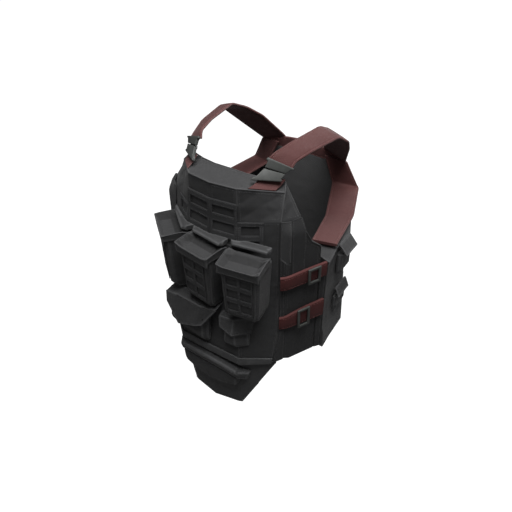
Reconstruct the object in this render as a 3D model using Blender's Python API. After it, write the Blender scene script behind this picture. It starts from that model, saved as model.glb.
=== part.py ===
"""Plate carrier: two plate bags joined by side panels and a shoulder harness, with its pouches.

Heights are measured up from the tip of the hanging lower flap, x runs to the wearer's left and the
front faces -Y. Every object is then moved so that the origin lies between the shoulder straps,
where the carrier hangs. Lengths are in metres and angles in degrees.
"""
import math
from collections import namedtuple

import bmesh
import bpy
from mathutils import Vector

# Driving dimensions
HANG = Vector((0.0, 0.058, 0.605))
GAP = 0.0005
WEBBING = 0.002
FLAP_CLOTH = 0.003
PAD = 0.007
STRAP = 0.005
LEAST_MITRE = 0.6
FINISHES = {
    "canvas": ((0.036, 0.037, 0.038), 0.85),
    "dark_canvas": ((0.027, 0.028, 0.029), 0.9),
    "harness": ((0.145, 0.052, 0.05), 0.8),
    "buckle": ((0.062, 0.066, 0.062), 0.5),
}

# Front bag: height at the ridge, centre crease and how much higher it is there, ridge, side edge and how
# much lower it is there, rear corner, lining
PanelRow = namedtuple(
    "PanelRow", "z centre_y centre_rise ridge_x edge_x edge_y edge_drop rear_x rear_y rear_drop lining_y"
)
PANEL = (
    PanelRow(0.1560, -0.205, 0.013, 0.077, 0.1290, -0.148, 0.008, 0.1330, -0.112, 0.004, -0.154),
    PanelRow(0.1780, -0.205, 0.013, 0.076, 0.1310, -0.147, 0.012, 0.1340, -0.110, 0.006, -0.150),
    PanelRow(0.2250, -0.201, 0.0, 0.073, 0.1360, -0.137, 0.0, 0.1360, -0.103, 0.0, -0.142),
    PanelRow(0.3290, -0.190, 0.0, 0.066, 0.1310, -0.126, 0.0, 0.1365, -0.094, 0.0, -0.128),
    PanelRow(0.5050, -0.1685, 0.0, 0.057, 0.1260, -0.119, 0.0, 0.1500, -0.086, 0.0, -0.106),
    PanelRow(0.5740, -0.168, 0.0, 0.054, 0.1190, -0.096, 0.019, 0.1120, -0.083, 0.008, -0.103),
)
PANEL_STEP = 0.036
PANEL_COLUMNS = (-2.0, -1.5, -1.0, 0.0, 1.0, 1.5, 2.0)
RIDGE_TURN = math.tan(math.radians(7.5))
LINING_INSET = 0.009
LINING_COLUMNS = (0.95, 0.84, 0.64, 0.34, 0.0)

# Front bag's hem and chest webbing
HEM_HEIGHTS = (0.1565, 0.1780)
HEM_THICKNESS = 0.003
SEWN_LIFT = 0.0007
CHEST_BANDS = (0.446, 0.452, 0.464, 0.476, 0.496, 0.505, 0.512, 0.530, 0.542)
CHEST_COLUMNS = (-1.6, -1.5, -1.08, -1.0, -0.9, -0.1, 0.0, 0.1, 0.9, 1.0, 1.08, 1.5, 1.6)
CHEST_WINDOW_COLUMNS = (1, 4, 7, 10)
CHEST_WINDOW_ROWS = (1, 3, 6)
CHEST_SHORT_ROWS = (4, 5, 6, 7)

# Magazine pouches: where the middle of the back meets the chest, and how far each is turned
Seat = namedtuple("Seat", "name x y turn")
MAG_SEATS = (
    Seat("right", -0.0750, -0.1495, -40.0),
    Seat("centre", 0.002, -0.1675, -8.5),
    Seat("left", 0.0888, -0.1655, 9.5),
)
MAG_CORNER = 0.007
MAG_STAND_OFF = -0.008
MagRow = namedtuple("MagRow", "z depth half")
MAG_BODY = (MagRow(0.315, 0.042, 0.0335), MagRow(0.329, 0.051, 0.0365), MagRow(0.438, 0.0565, 0.0405))
MAG_WEB_LEVELS = (0.333, 0.341, 0.362, 0.374, 0.395, 0.407, 0.424, 0.4295)
MAG_WEB_COLUMNS = (-0.0285, -0.0255, -0.003, 0.003, 0.0255, 0.0285)
MAG_WINDOW_ROWS = (1, 3, 5)
MAG_WINDOW_COLUMNS = (1, 3)
# Section of the dished flap, from the lip's lower edge to the back: depth, height in the dish, at the rim
FlapRow = namedtuple("FlapRow", "depth dish_z rim_z under_depth under_z")
MAG_FLAP = (
    FlapRow(0.0610, 0.4310, 0.4310, 0.0580, 0.4310),
    FlapRow(0.0620, 0.4490, 0.4530, 0.0575, 0.4390),
    FlapRow(0.0530, 0.4430, 0.4545, 0.0510, 0.4390),
    FlapRow(0.0310, 0.4425, 0.4560, 0.0310, 0.4390),
    FlapRow(0.0180, 0.4475, 0.4560, 0.0180, 0.4390),
    FlapRow(0.0060, 0.4490, 0.4520, 0.0060, 0.4390),
)
FlapPlace = namedtuple("FlapPlace", "across height")
MAG_FLAP_PLACES = (
    FlapPlace(-0.043, "rim_z"),
    FlapPlace(-0.030, "dish_z"),
    FlapPlace(0.0, "dish_z"),
    FlapPlace(0.030, "dish_z"),
    FlapPlace(0.043, "rim_z"),
)
MAG_REACH = 0.043
MAG_BACK_COLUMNS = 9
MAG_BACK_LIFT = 0.0025
MAG_FLAP_LIFT = 0.0062
MAG_SEARCH_STEPS = 24
MAG_ROLL = (
    MagRow(0.4566, 0.0120, 0.0),
    MagRow(0.4595, 0.0160, 0.0),
    MagRow(0.4640, 0.0150, 0.0),
    MagRow(0.4680, 0.0080, 0.0),
)
MAG_ROLL_HALF = 0.0405
MAG_ROLL_MITRE = 0.005
MAG_ROLL_LIFT = 0.0046
MAG_ROLL_END = 0.55
MAG_ROLL_LEAST = 0.004

# Pouches low on the front: place across, height and stand-off of the flap's upper and lower edges
FlapColumn = namedtuple("FlapColumn", "x top_z top_lift low_x low_z low_lift")
UTILITY_FLAP = (
    FlapColumn(-0.108, 0.284, 0.047, -0.104, 0.263, 0.047),
    FlapColumn(-0.066, 0.300, 0.026, -0.063, 0.229, 0.029),
    FlapColumn(0.000, 0.3050, 0.026, -0.010, 0.254, 0.030),
    FlapColumn(0.034, 0.3060, 0.024, 0.006, 0.262, 0.029),
)
BELLY_FLAP = (
    FlapColumn(0.036, 0.288, 0.014, 0.040, 0.266, 0.018),
    FlapColumn(0.069, 0.290, 0.016, 0.069, 0.254, 0.021),
    FlapColumn(0.101, 0.290, 0.014, 0.099, 0.256, 0.018),
)
# Their bodies: place across in shares of the ridge's, stand-off at the middle, and how rounded the foot is
BodyColumn = namedtuple("BodyColumn", "across lift")
UTILITY_BODY = (
    BodyColumn(-1.45, 0.0290),
    BodyColumn(-1.36, 0.0358),
    BodyColumn(-1.0, 0.0205),
    BodyColumn(-0.5, 0.0205),
    BodyColumn(0.0, 0.0200),
    BodyColumn(0.14, 0.0120),
)
BELLY_BODY = (
    BodyColumn(0.60, 0.007),
    BodyColumn(0.68, 0.0115),
    BodyColumn(1.0, 0.0130),
    BodyColumn(1.32, 0.010),
)
BodyRow = namedtuple("BodyRow", "z lift")
UTILITY_ROWS = (BodyRow(0.206, 0.45), BodyRow(0.216, 0.85), BodyRow(0.228, 1.0), BodyRow(0.276, 1.0))
BELLY_ROWS = (BodyRow(0.212, 0.4), BodyRow(0.222, 0.9), BodyRow(0.236, 1.0), BodyRow(0.281, 1.0))

# Hanging lower flap: height at the ridge, centre and how much higher it is there, ridge, side edge and
# how much lower it is there
GroinRow = namedtuple("GroinRow", "z centre_y centre_rise ridge_x ridge_y edge_x edge_y edge_drop")
GROIN = (
    GroinRow(0.0020, -0.189, -0.002, 0.060, -0.1790, 0.0690, -0.1760, -0.001),
    GroinRow(0.0800, -0.195, 0.006, 0.068, -0.1860, 0.1040, -0.1600, 0.003),
    GroinRow(0.1545, -0.196, 0.013, 0.0755, -0.1870, 0.1370, -0.1410, 0.008),
)
GROIN_THICKNESS = 0.008
GROIN_COLUMNS = (-2.0, -1.0, 0.0, 1.0, 2.0)
# Pocket and roll on it: place across, height of the pocket's foot, height of the roll's upper front edge
LineColumn = namedtuple("LineColumn", "across foot_z roll_z")
GROIN_LINE = (
    LineColumn(-1.22, 0.100, 0.150),
    LineColumn(-1.0, 0.083, 0.153),
    LineColumn(-0.55, 0.073, 0.158),
    LineColumn(0.0, 0.071, 0.163),
    LineColumn(0.55, 0.070, 0.153),
    LineColumn(1.0, 0.083, 0.143),
    LineColumn(1.10, 0.100, 0.137),
    LineColumn(1.42, 0.112, 0.126),
)
GROIN_POCKET_COLUMNS = 7
PocketRow = namedtuple("PocketRow", "share lift")
GROIN_POCKET = (PocketRow(0.0, 0.006), PocketRow(0.18, 0.014), PocketRow(0.5, 0.0165), PocketRow(1.0, 0.0165))
RollRow = namedtuple("RollRow", "fall lift")
GROIN_ROLL = (RollRow(0.026, 0.013), RollRow(0.019, 0.020), RollRow(0.004, 0.0225), RollRow(0.0, 0.019))
GROIN_ROLL_REST = 0.0275
GROIN_END = 0.6
GROIN_BACK = 0.002
POUCH_BACK = 0.0017
POUCH_END = 0.6
FLAP_RISE = 0.004

# Side panel, seen from above, with the heights of its lower and upper edges
SideColumn = namedtuple("SideColumn", "x y low_z top_z")
SIDE_PANEL = (
    SideColumn(0.1435, -0.1245, 0.152, 0.417),
    SideColumn(0.1515, -0.1115, 0.146, 0.419),
    SideColumn(0.1525, -0.1095, 0.146, 0.484),
    SideColumn(0.1620, -0.0905, 0.146, 0.486),
    SideColumn(0.1700, -0.0740, 0.146, 0.452),
    SideColumn(0.1800, -0.0540, 0.146, 0.434),
    SideColumn(0.1790, -0.0470, 0.147, 0.332),
    SideColumn(0.1745, -0.0300, 0.150, 0.328),
    SideColumn(0.1735, 0.0050, 0.160, 0.322),
)
SIDE_LEVELS = (0.0, 0.5, 1.0)

# Side straps: height of the front end, the rear end, and where the slider buckle sits along it
StrapPoint = namedtuple("StrapPoint", "x y rise widen")
SIDE_STRAP_ROUTE = (
    StrapPoint(0.1435, -0.1245, 0.0, 0.0),
    StrapPoint(0.1520, -0.1105, 0.6, 0.4),
    StrapPoint(0.1680, -0.0780, 0.9, 0.8),
    StrapPoint(0.1862, -0.0428, 1.0, 1.0),
)
SideStrap = namedtuple("SideStrap", "name z rise half widen slider_at")
SIDE_STRAPS = (
    SideStrap("upper", 0.3725, 0.0035, 0.0170, 0.001, 0.0430),
    SideStrap("lower", 0.2660, 0.0055, 0.0175, 0.006, 0.0230),
)
SIDE_STRAP_THICKNESS = 0.0085
SIDE_STRAP_LIFT = 0.0015
SLIDER_WIDTH = 0.030
SLIDER_RIM = 0.0015
SLIDER_BAR = 0.0055
SLIDER_THICKNESS = 0.004
SLIDER_WINDOW = ((1, 1),)

# Back: the plate bag and the padded wraps that carry it round to the sides
BackRow = namedtuple("BackRow", "z centre_y ridge_x ridge_y edge_x edge_y lining_y")
BACK_BAG = (
    BackRow(0.160, 0.214, 0.075, 0.205, 0.110, 0.188, 0.170),
    BackRow(0.190, 0.219, 0.078, 0.210, 0.112, 0.190, 0.170),
    BackRow(0.330, 0.222, 0.078, 0.213, 0.112, 0.192, 0.171),
    BackRow(0.425, 0.216, 0.074, 0.210, 0.102, 0.196, 0.175),
    BackRow(0.4845, 0.201, 0.058, 0.199, 0.080, 0.196, 0.184),
)
BACK_LINING_SHARE = (1.0, 0.6, 0.0)
BACK_LINING_BEND = -0.004
WrapColumn = namedtuple("WrapColumn", "x y low_z top_z rim_x rim_y rim_z thin_x thin_y")
BACK_WRAP = (
    WrapColumn(0.1915, -0.0390, 0.146, 0.388, 0.1600, -0.0420, 0.402, 0.1805, -0.0400),
    WrapColumn(0.1890, -0.0060, 0.149, 0.404, 0.1480, -0.0330, 0.414, 0.1790, -0.0110),
    WrapColumn(0.1885, 0.0545, 0.156, 0.402, 0.1330, 0.0560, 0.404, 0.1765, 0.0500),
    WrapColumn(0.1700, 0.0960, 0.160, 0.403, 0.1260, 0.0900, 0.405, 0.1570, 0.0880),
    WrapColumn(0.1430, 0.1560, 0.164, 0.410, 0.1130, 0.1380, 0.416, 0.1320, 0.1400),
    WrapColumn(0.1180, 0.1870, 0.166, 0.416, 0.1085, 0.1660, 0.420, 0.1175, 0.1660),
)
WrapLevel = namedtuple("WrapLevel", "share thick swell")
WRAP_LEVELS = (
    WrapLevel(0.0, 0.0, 0.007),
    WrapLevel(0.17, 0.0, 0.006),
    WrapLevel(0.25, 0.0, 0.001),
    WrapLevel(0.5, 0.0, 0.0),
    WrapLevel(0.76, 0.15, 0.0),
    WrapLevel(0.93, 0.9, 0.0015),
    WrapLevel(1.0, 1.0, 0.005),
)

# Pouches on the side facet of each wrap: body, and the flap's tip and crest
BackPouch = namedtuple("BackPouch", "name low_z top_z lift tip_z tip_lift crest_z crest_lift")
BACK_POUCHES = (
    BackPouch("upper", 0.331, 0.383, 0.0125, 0.3860, 0.0215, 0.4030, 0.0070),
    BackPouch("lower", 0.230, 0.266, 0.0100, 0.2690, 0.0130, 0.2870, 0.0060),
)
BACK_POUCH_SPAN = (0.10, 0.17, 0.81, 0.88)
BACK_FLAP_SPAN = (0.08, 0.90)
BACK_POUCH_ROUND = 0.010
BACK_POUCH_STAND = 0.0030
BACK_FACET = (1, 2)

# Shoulder harness: pairs of edge points, on the neck side and on the arm side
EdgePair = namedtuple("EdgePair", "neck arm")
STRAP_BASE = (
    EdgePair((0.0600, -0.1500, 0.5755), (0.1030, -0.1130, 0.5680)),
    EdgePair((0.0660, -0.1210, 0.5765), (0.1080, -0.0930, 0.5710)),
)
BUCKLE_LINE = (
    EdgePair((0.0640, -0.1280, 0.5790), (0.1070, -0.0960, 0.5735)),
    EdgePair((0.0720, -0.1050, 0.5970), (0.1140, -0.0810, 0.5830)),
    EdgePair((0.0780, -0.0890, 0.6110), (0.1190, -0.0710, 0.5940)),
)
SHOULDER = (
    EdgePair((0.0785, -0.0880, 0.6120), (0.1195, -0.0700, 0.5950)),
    EdgePair((0.0840, -0.0800, 0.6210), (0.1190, -0.0600, 0.6010)),
    EdgePair((0.0920, -0.0350, 0.6260), (0.1300, -0.0200, 0.6080)),
    EdgePair((0.1030, 0.0540, 0.6260), (0.1450, 0.0650, 0.6080)),
    EdgePair((0.0985, 0.1050, 0.6005), (0.1550, 0.0900, 0.5910)),
    EdgePair((0.0790, 0.1380, 0.5740), (0.1430, 0.1250, 0.5570)),
    EdgePair((0.0520, 0.1900, 0.5125), (0.1100, 0.1880, 0.4925)),
)
BuckleRow = namedtuple("BuckleRow", "along width")
BUCKLE_PLATE = (BuckleRow(0.0, 1.04), BuckleRow(0.10, 1.04), BuckleRow(0.16, 0.86), BuckleRow(0.485, 0.80))
BUCKLE_SOCKET = (BuckleRow(0.545, 0.80), BuckleRow(0.84, 0.90), BuckleRow(0.89, 1.10), BuckleRow(1.0, 1.10))
BUCKLE_THICKNESS = 0.0065
UNDERARM = (
    EdgePair((0.0820, 0.1920, 0.4860), (0.1120, 0.1945, 0.4830)),
    EdgePair((0.1090, 0.1910, 0.4320), (0.1420, 0.2020, 0.4240)),
    EdgePair((0.1300, 0.0760, 0.4090), (0.1760, 0.1080, 0.4085)),
    EdgePair((0.1490, -0.0360, 0.4200), (0.1950, -0.0120, 0.4110)),
)
UNDERARM_THICKNESS = 0.006
YokeColumn = namedtuple("YokeColumn", "x y low_z top_z")
YOKE = (
    YokeColumn(0.0980, 0.1900, 0.4885, 0.4925),
    YokeColumn(0.0520, 0.1920, 0.4885, 0.5085),
    YokeColumn(0.0000, 0.1940, 0.4885, 0.5130),
)
YOKE_THICKNESS = 0.006


def make(name, vertices, faces, finish):
    """Adds one closed mesh object with its own material, leaving out points that no face uses."""
    mesh = bpy.data.meshes.new(name)
    build = bmesh.new()
    used = sorted({index for face in faces for index in face})
    corners = {index: build.verts.new(vertices[index]) for index in used}
    for face in faces:
        build.faces.new([corners[index] for index in face])
    bmesh.ops.recalc_face_normals(build, faces=build.faces)
    build.to_mesh(mesh)
    build.free()
    piece = bpy.data.objects.new(name, mesh)
    piece.location = -HANG
    bpy.context.scene.collection.objects.link(piece)
    colour, roughness = FINISHES[finish]
    material = bpy.data.materials.new(name)
    material.use_nodes = True
    shader = material.node_tree.nodes["Principled BSDF"]
    shader.inputs["Base Color"].default_value = (*colour, 1.0)
    shader.inputs["Roughness"].default_value = roughness
    mesh.materials.append(material)
    return piece


def grid_faces(rows, columns, start=0):
    """Quads of a grid whose points are stored row by row."""
    faces = []
    for row in range(rows - 1):
        for column in range(columns - 1):
            corner = start + row * columns + column
            faces.append((corner, corner + 1, corner + columns + 1, corner + columns))
    return faces


def ladder(name, outer, inner, windows, finish):
    """A closed solid between two grids, with the cells named by row and column left open."""
    rows = len(outer)
    columns = len(outer[0])
    count = rows * columns
    vertices = [point for row in outer for point in row] + [point for row in inner for point in row]
    cells = [(row, column) for row in range(rows - 1) for column in range(columns - 1)]
    kept = [face for cell, face in zip(cells, grid_faces(rows, columns)) if cell not in windows]
    sides = {(here, after) for face in kept for here, after in zip(face, face[1:] + face[:1])}
    faces = kept + [tuple(index + count for index in reversed(face)) for face in kept]
    for here, after in sorted(sides):
        if (after, here) not in sides:
            faces.append((after, here, here + count, after + count))
    return make(name, vertices, faces, finish)


def slab(name, outer, inner, finish):
    """A closed solid between an outer and an inner grid of the same rows and columns."""
    return ladder(name, outer, inner, (), finish)


def offset(grid, distance):
    """The grid moved along its own normals, keeping the wall's thickness at the creases."""
    rows = len(grid)
    columns = len(grid[0])
    moved = []
    for row in range(rows):
        line = []
        for column in range(columns):
            here = grid[row][column]
            normals = []
            for step_row, step_column in ((1, 1), (-1, 1), (-1, -1), (1, -1)):
                near_row = row + step_row
                near_column = column + step_column
                if 0 <= near_row < rows and 0 <= near_column < columns:
                    along = grid[near_row][column] - here
                    across = grid[row][near_column] - here
                    normals.append(across.cross(along).normalized() * step_row * step_column)
            mean = sum(normals, Vector()).normalized()
            stretch = max(min(mean.dot(normal) for normal in normals), LEAST_MITRE)
            line.append(here + mean * distance / stretch)
        moved.append(line)
    return moved


def sheet(name, grid, thickness, finish, lift=0.0, windows=()):
    """A wall that stands out of a grid by its thickness, starting at a lift above it."""
    return ladder(name, offset(grid, lift + thickness), offset(grid, lift), windows, finish)


def mirrored(grid):
    """The same grid on the wearer's other side, with its faces still pointing the same way."""
    return [[Vector((-point.x, point.y, point.z)) for point in reversed(row)] for row in grid]


def both_sides(grid):
    """The grid for the wearer's left and its mirror image, each with its name."""
    return (("left", grid), ("right", mirrored(grid)))


def across_middle(half, middle):
    """A whole row from its left half, listed from the outside in, and the point in the middle."""
    return [Vector((-point.x, point.y, point.z)) for point in half] + [middle] + half[::-1]


def at_height(table, z, column):
    """Reads a named column of a table of rows sorted by z, between its rows."""
    if z <= table[0].z:
        return getattr(table[0], column)
    for low, high in zip(table, table[1:]):
        if z <= high.z:
            share = (z - low.z) / (high.z - low.z)
            return getattr(low, column) + share * (getattr(high, column) - getattr(low, column))
    return getattr(table[-1], column)


def chest_y(x, z):
    """The front bag's face at a place across, for a row's height at the ridge."""
    ridge_x = at_height(PANEL, z, "ridge_x")
    edge_x = at_height(PANEL, z, "edge_x")
    edge_y = at_height(PANEL, z, "edge_y")
    ridge_y = at_height(PANEL, z, "centre_y") + RIDGE_TURN * ridge_x
    if abs(x) <= ridge_x:
        return ridge_y - RIDGE_TURN * (ridge_x - abs(x))
    return ridge_y + (abs(x) - ridge_x) * (edge_y - ridge_y) / (edge_x - ridge_x)


def lean(across, z):
    """How much higher a row of the front bag runs at a place across than at its ridge."""
    rise = at_height(PANEL, z, "centre_rise") * max(1.0 - abs(across), 0.0)
    return rise - at_height(PANEL, z, "edge_drop") * max(abs(across) - 1.0, 0.0)


def front_y(x, z):
    """The front bag's face at a place across and a true height."""
    ridge_x = at_height(PANEL, z, "ridge_x")
    edge_x = at_height(PANEL, z, "edge_x")
    across = abs(x) / ridge_x if abs(x) <= ridge_x else 1.0 + (abs(x) - ridge_x) / (edge_x - ridge_x)
    return chest_y(x, z - lean(across, z))


def chest(across, z):
    """A point on the front bag: 0 is the centre crease, 1 the left ridge and 2 the left edge."""
    ridge_x = at_height(PANEL, z, "ridge_x")
    edge_x = at_height(PANEL, z, "edge_x")
    x = ridge_x * min(abs(across), 1.0) + (edge_x - ridge_x) * max(abs(across) - 1.0, 0.0)
    return Vector((math.copysign(x, across), chest_y(x, z), z + lean(across, z)))


def chest_grid(columns, levels):
    """Points on the front bag for a list of places across and a list of heights."""
    return [[chest(across, z) for across in columns] for z in levels]


def panel_levels():
    """Heights of the front bag's rows: its own creases, and steps between them."""
    levels = []
    for low, high in zip(PANEL, PANEL[1:]):
        steps = max(1, round((high.z - low.z) / PANEL_STEP))
        levels += [low.z + (high.z - low.z) * step / steps for step in range(steps)]
    return levels + [PANEL[-1].z]


def front_panel():
    """The front plate bag: a thick slab with a folded face and a curved lining."""
    outer = []
    inner = []
    for z in panel_levels():
        rear_x = at_height(PANEL, z, "rear_x")
        rear_y = at_height(PANEL, z, "rear_y")
        rear_drop = at_height(PANEL, z, "rear_drop")
        lining_y = at_height(PANEL, z, "lining_y")
        rear = Vector((rear_x, rear_y, z - rear_drop))
        half = [rear] + [chest(across, z) for across in PANEL_COLUMNS[:len(PANEL_COLUMNS) // 2:-1]]
        outer.append(across_middle(half, chest(0.0, z)))
        lining = []
        for share in LINING_COLUMNS:
            y = lining_y + (rear_y + LINING_INSET - lining_y) * share * share
            fall = rear_drop * share - at_height(PANEL, z, "centre_rise") * (1.0 - share)
            lining.append(Vector((rear_x * share, y, z - fall)))
        inner.append(across_middle(lining[:-1], lining[-1]))
    slab("front_panel", outer, inner, "canvas")


def hem_band():
    """The bound hem: a proud band along the bottom of the front bag."""
    sheet("hem_band", chest_grid(PANEL_COLUMNS, HEM_HEIGHTS), HEM_THICKNESS, "canvas", lift=SEWN_LIFT)


def chest_webbing():
    """The webbing ladder on the chest: rows of windows, on the ridges only below the shoulder corners."""
    grid = chest_grid(CHEST_COLUMNS, CHEST_BANDS)
    windows = {(row, column) for row in CHEST_WINDOW_ROWS for column in CHEST_WINDOW_COLUMNS}
    last = len(CHEST_COLUMNS) - 2
    for row in CHEST_SHORT_ROWS:
        windows |= {(row, column) for column in (0, 1, 2, last - 2, last - 1, last)}
    sheet("chest_webbing", grid, WEBBING, "dark_canvas", lift=SEWN_LIFT, windows=windows)


def seat_point(seat, across, depth, z):
    """A point of a magazine pouch, from its seat: across it, forward of it, and its height."""
    turn = math.radians(seat.turn)
    x = seat.x + across * math.cos(turn) + depth * math.sin(turn)
    y = seat.y + across * math.sin(turn) - depth * math.cos(turn)
    return Vector((x, y, z))


def seat_back(seat, across, z, lift):
    """How far forward of its seat a pouch's back lies, where it follows the front bag."""
    low = -MAG_REACH
    high = MAG_REACH
    for _ in range(MAG_SEARCH_STEPS):
        middle = 0.5 * (low + high)
        point = seat_point(seat, across, middle, z)
        if point.y > front_y(point.x, z):
            low = middle
        else:
            high = middle
    return max(high + lift, MAG_STAND_OFF)


def spread(half, count):
    """Places evenly across a width."""
    return [half * (2.0 * step / (count - 1) - 1.0) for step in range(count)]


def mag_body(seat):
    """A magazine pouch: flat front, cut vertical corners, and a back that follows the front bag."""
    outer = []
    inner = []
    for row in MAG_BODY:
        places = [-row.half] + spread(row.half - MAG_CORNER, MAG_BACK_COLUMNS - 2) + [row.half]
        cut = [MAG_CORNER if abs(place) == row.half else 0.0 for place in places]
        outer.append([seat_point(seat, place, row.depth - less, row.z) for place, less in zip(places, cut)])
        backs = [seat_back(seat, place, row.z, MAG_BACK_LIFT) for place in places]
        inner.append([seat_point(seat, place, back, row.z) for place, back in zip(places, backs)])
    slab("mag_body_" + seat.name, outer, inner, "canvas")


def mag_webbing(seat):
    """The webbing ladder on a magazine pouch's front."""
    grid = []
    for z in MAG_WEB_LEVELS:
        depth = at_height(MAG_BODY, z, "depth")
        grid.append([seat_point(seat, across, depth, z) for across in MAG_WEB_COLUMNS])
    windows = {(row, column) for row in MAG_WINDOW_ROWS for column in MAG_WINDOW_COLUMNS}
    sheet("mag_webbing_" + seat.name, grid, WEBBING, "dark_canvas", lift=GAP, windows=windows)


def mag_flap(seat):
    """The dished flap over a magazine pouch: a front lip, a sunk floor and raised sides."""
    upper = []
    lower = []
    for row in MAG_FLAP:
        above = []
        below = []
        for place in MAG_FLAP_PLACES:
            z = getattr(row, place.height)
            back = seat_back(seat, place.across, z, MAG_FLAP_LIFT)
            above.append(seat_point(seat, place.across, max(row.depth, back), z))
            below.append(seat_point(seat, place.across, max(row.under_depth, back), row.under_z))
        upper.append(above)
        lower.append(below)
    slab("mag_flap_" + seat.name, upper, lower, "canvas")


def mag_roll(seat):
    """The roll above a magazine pouch's flap, with its ends cut back."""
    places = [-MAG_ROLL_HALF] + spread(MAG_ROLL_HALF - MAG_ROLL_MITRE, MAG_BACK_COLUMNS - 2) + [MAG_ROLL_HALF]
    outer = []
    inner = []
    for row in MAG_ROLL:
        front = []
        back = []
        base = seat_back(seat, 0.0, row.z, 0.0)
        for place in places:
            behind = seat_back(seat, place, row.z, MAG_ROLL_LIFT)
            swell = row.depth * (MAG_ROLL_END if abs(place) == MAG_ROLL_HALF else 1.0)
            depth = max(base + swell, behind + MAG_ROLL_LEAST)
            front.append(seat_point(seat, place, depth, row.z))
            back.append(seat_point(seat, place, behind, row.z))
        outer.append(front)
        inner.append(back)
    slab("mag_roll_" + seat.name, outer, inner, "canvas")


def stand(x, z, lift):
    """A point in front of the front bag, lifted straight forward."""
    return Vector((x, front_y(x, z) - lift, z))


def low_pouch(name, flap, body, rows):
    """A pouch under a mitred flap: its body stands on the front bag, and the flap covers its top."""
    outer = []
    inner = []
    for row in rows:
        places = [chest(column.across, row.z) for column in body]
        lifts = [POUCH_BACK + column.lift * row.lift for column in body]
        outer.append([stand(place.x, row.z, lift) for place, lift in zip(places, lifts)])
        inner.append([stand(place.x, row.z, POUCH_BACK) for place in places])
    slab(name + "_pouch", outer, inner, "canvas")
    lower_edge = [stand(column.low_x, column.low_z, column.low_lift) for column in flap]
    upper_edge = [stand(column.x, column.top_z, column.top_lift) for column in flap]
    root = [stand(column.x, column.top_z + FLAP_RISE, POUCH_BACK) for column in flap]
    sheet(name + "_flap", [lower_edge, upper_edge, root], FLAP_CLOTH, "canvas")


def groin(across, z, lift=0.0):
    """A point in front of the hanging lower flap: 0 is its middle, 1 its left ridge, 2 its left edge."""
    beyond = max(abs(across) - 1.0, 0.0)
    inside = min(abs(across), 1.0)
    ridge_x = at_height(GROIN, z, "ridge_x")
    ridge_y = at_height(GROIN, z, "ridge_y")
    centre_y = at_height(GROIN, z, "centre_y")
    x = ridge_x * inside + (at_height(GROIN, z, "edge_x") - ridge_x) * beyond
    y = centre_y + (ridge_y - centre_y) * inside + (at_height(GROIN, z, "edge_y") - ridge_y) * beyond
    return Vector((math.copysign(x, across), y - lift, z))


def groin_flap():
    """The flap that hangs below the hem."""
    outer = []
    for row in GROIN:
        line = [groin(across, row.z) for across in GROIN_COLUMNS]
        for point, across in zip(line, GROIN_COLUMNS):
            point.z += row.centre_rise * max(1.0 - abs(across), 0.0)
            point.z -= row.edge_drop * max(abs(across) - 1.0, 0.0)
        outer.append(line)
    inner = [[point + Vector((0.0, GROIN_THICKNESS, 0.0)) for point in line] for line in outer]
    slab("groin_flap", outer, inner, "canvas")


def on_groin(name, columns, rows):
    """A soft body on the hanging flap, from rows that give the height and stand-off at each column."""
    ends = (columns[0], columns[-1])
    outer = []
    inner = []
    for height, lift in rows:
        lifts = [lift * (GROIN_END if column in ends else 1.0) for column in columns]
        heights = [height(column) for column in columns]
        outer.append([groin(c.across, z, GROIN_BACK + up) for c, z, up in zip(columns, heights, lifts)])
        inner.append([groin(c.across, z, GROIN_BACK) for c, z in zip(columns, heights)])
    slab(name, outer, inner, "canvas")


def groin_pocket():
    """The pocket on the hanging flap, with a rounded foot and its top under the roll."""
    def height_of(share):
        return lambda column: column.foot_z + share * (column.roll_z - GROIN_ROLL_REST - column.foot_z)

    rows = [(height_of(row.share), row.lift) for row in GROIN_POCKET]
    on_groin("groin_pocket", GROIN_LINE[:GROIN_POCKET_COLUMNS], rows)


def groin_roll():
    """The roll above the pocket on the hanging flap."""
    def height_of(fall):
        return lambda column: column.roll_z - fall

    on_groin("groin_roll", GROIN_LINE, [(height_of(row.fall), row.lift) for row in GROIN_ROLL])


def side_panels():
    """The padded side panels, from the front bag to under the back wraps."""
    grid = []
    for level in SIDE_LEVELS:
        grid.append([Vector((c.x, c.y, c.low_z + level * (c.top_z - c.low_z))) for c in SIDE_PANEL])
    for side, outer in both_sides(grid):
        slab("side_panel_" + side, outer, offset(outer, -PAD), "dark_canvas")


def side_straps():
    """The straps over the side panels, each with its rectangular slider buckle."""
    bend = SIDE_STRAP_ROUTE[1]
    end = SIDE_STRAP_ROUTE[-1]
    for strap in SIDE_STRAPS:
        grid = []
        for edge in (-1.0, 1.0):
            line = []
            for point in SIDE_STRAP_ROUTE:
                half = strap.half + strap.widen * point.widen
                line.append(Vector((point.x, point.y, strap.z + strap.rise * point.rise + edge * half)))
            grid.append(line)
        way = Vector((end.x - bend.x, end.y - bend.y, strap.rise * (end.rise - bend.rise))).normalized()
        outward = Vector((way.y, -way.x, 0.0)).normalized()
        up = way.cross(outward) if way.cross(outward).z > 0.0 else outward.cross(way)
        middle = Vector((bend.x, bend.y, strap.z + strap.rise * bend.rise)) + way * strap.slider_at
        middle += outward * (SIDE_STRAP_LIFT + SIDE_STRAP_THICKNESS + 2.0 * GAP)
        half_width = 0.5 * SLIDER_WIDTH
        half_height = strap.half + strap.widen * end.widen + SLIDER_RIM
        places = (-half_width, SLIDER_BAR - half_width, half_width - SLIDER_BAR, half_width)
        levels = (-half_height, SLIDER_BAR - half_height, half_height - SLIDER_BAR, half_height)
        frame = [[middle + way * place + up * level for place in places] for level in levels]
        for side, route in both_sides(grid):
            name = "side_strap_{}_{}".format(strap.name, side)
            sheet(name, route, SIDE_STRAP_THICKNESS, "harness", lift=SIDE_STRAP_LIFT)
        for side, plate in both_sides(frame):
            name = "side_slider_{}_{}".format(strap.name, side)
            sheet(name, plate, SLIDER_THICKNESS, "buckle", windows=SLIDER_WINDOW)


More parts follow.
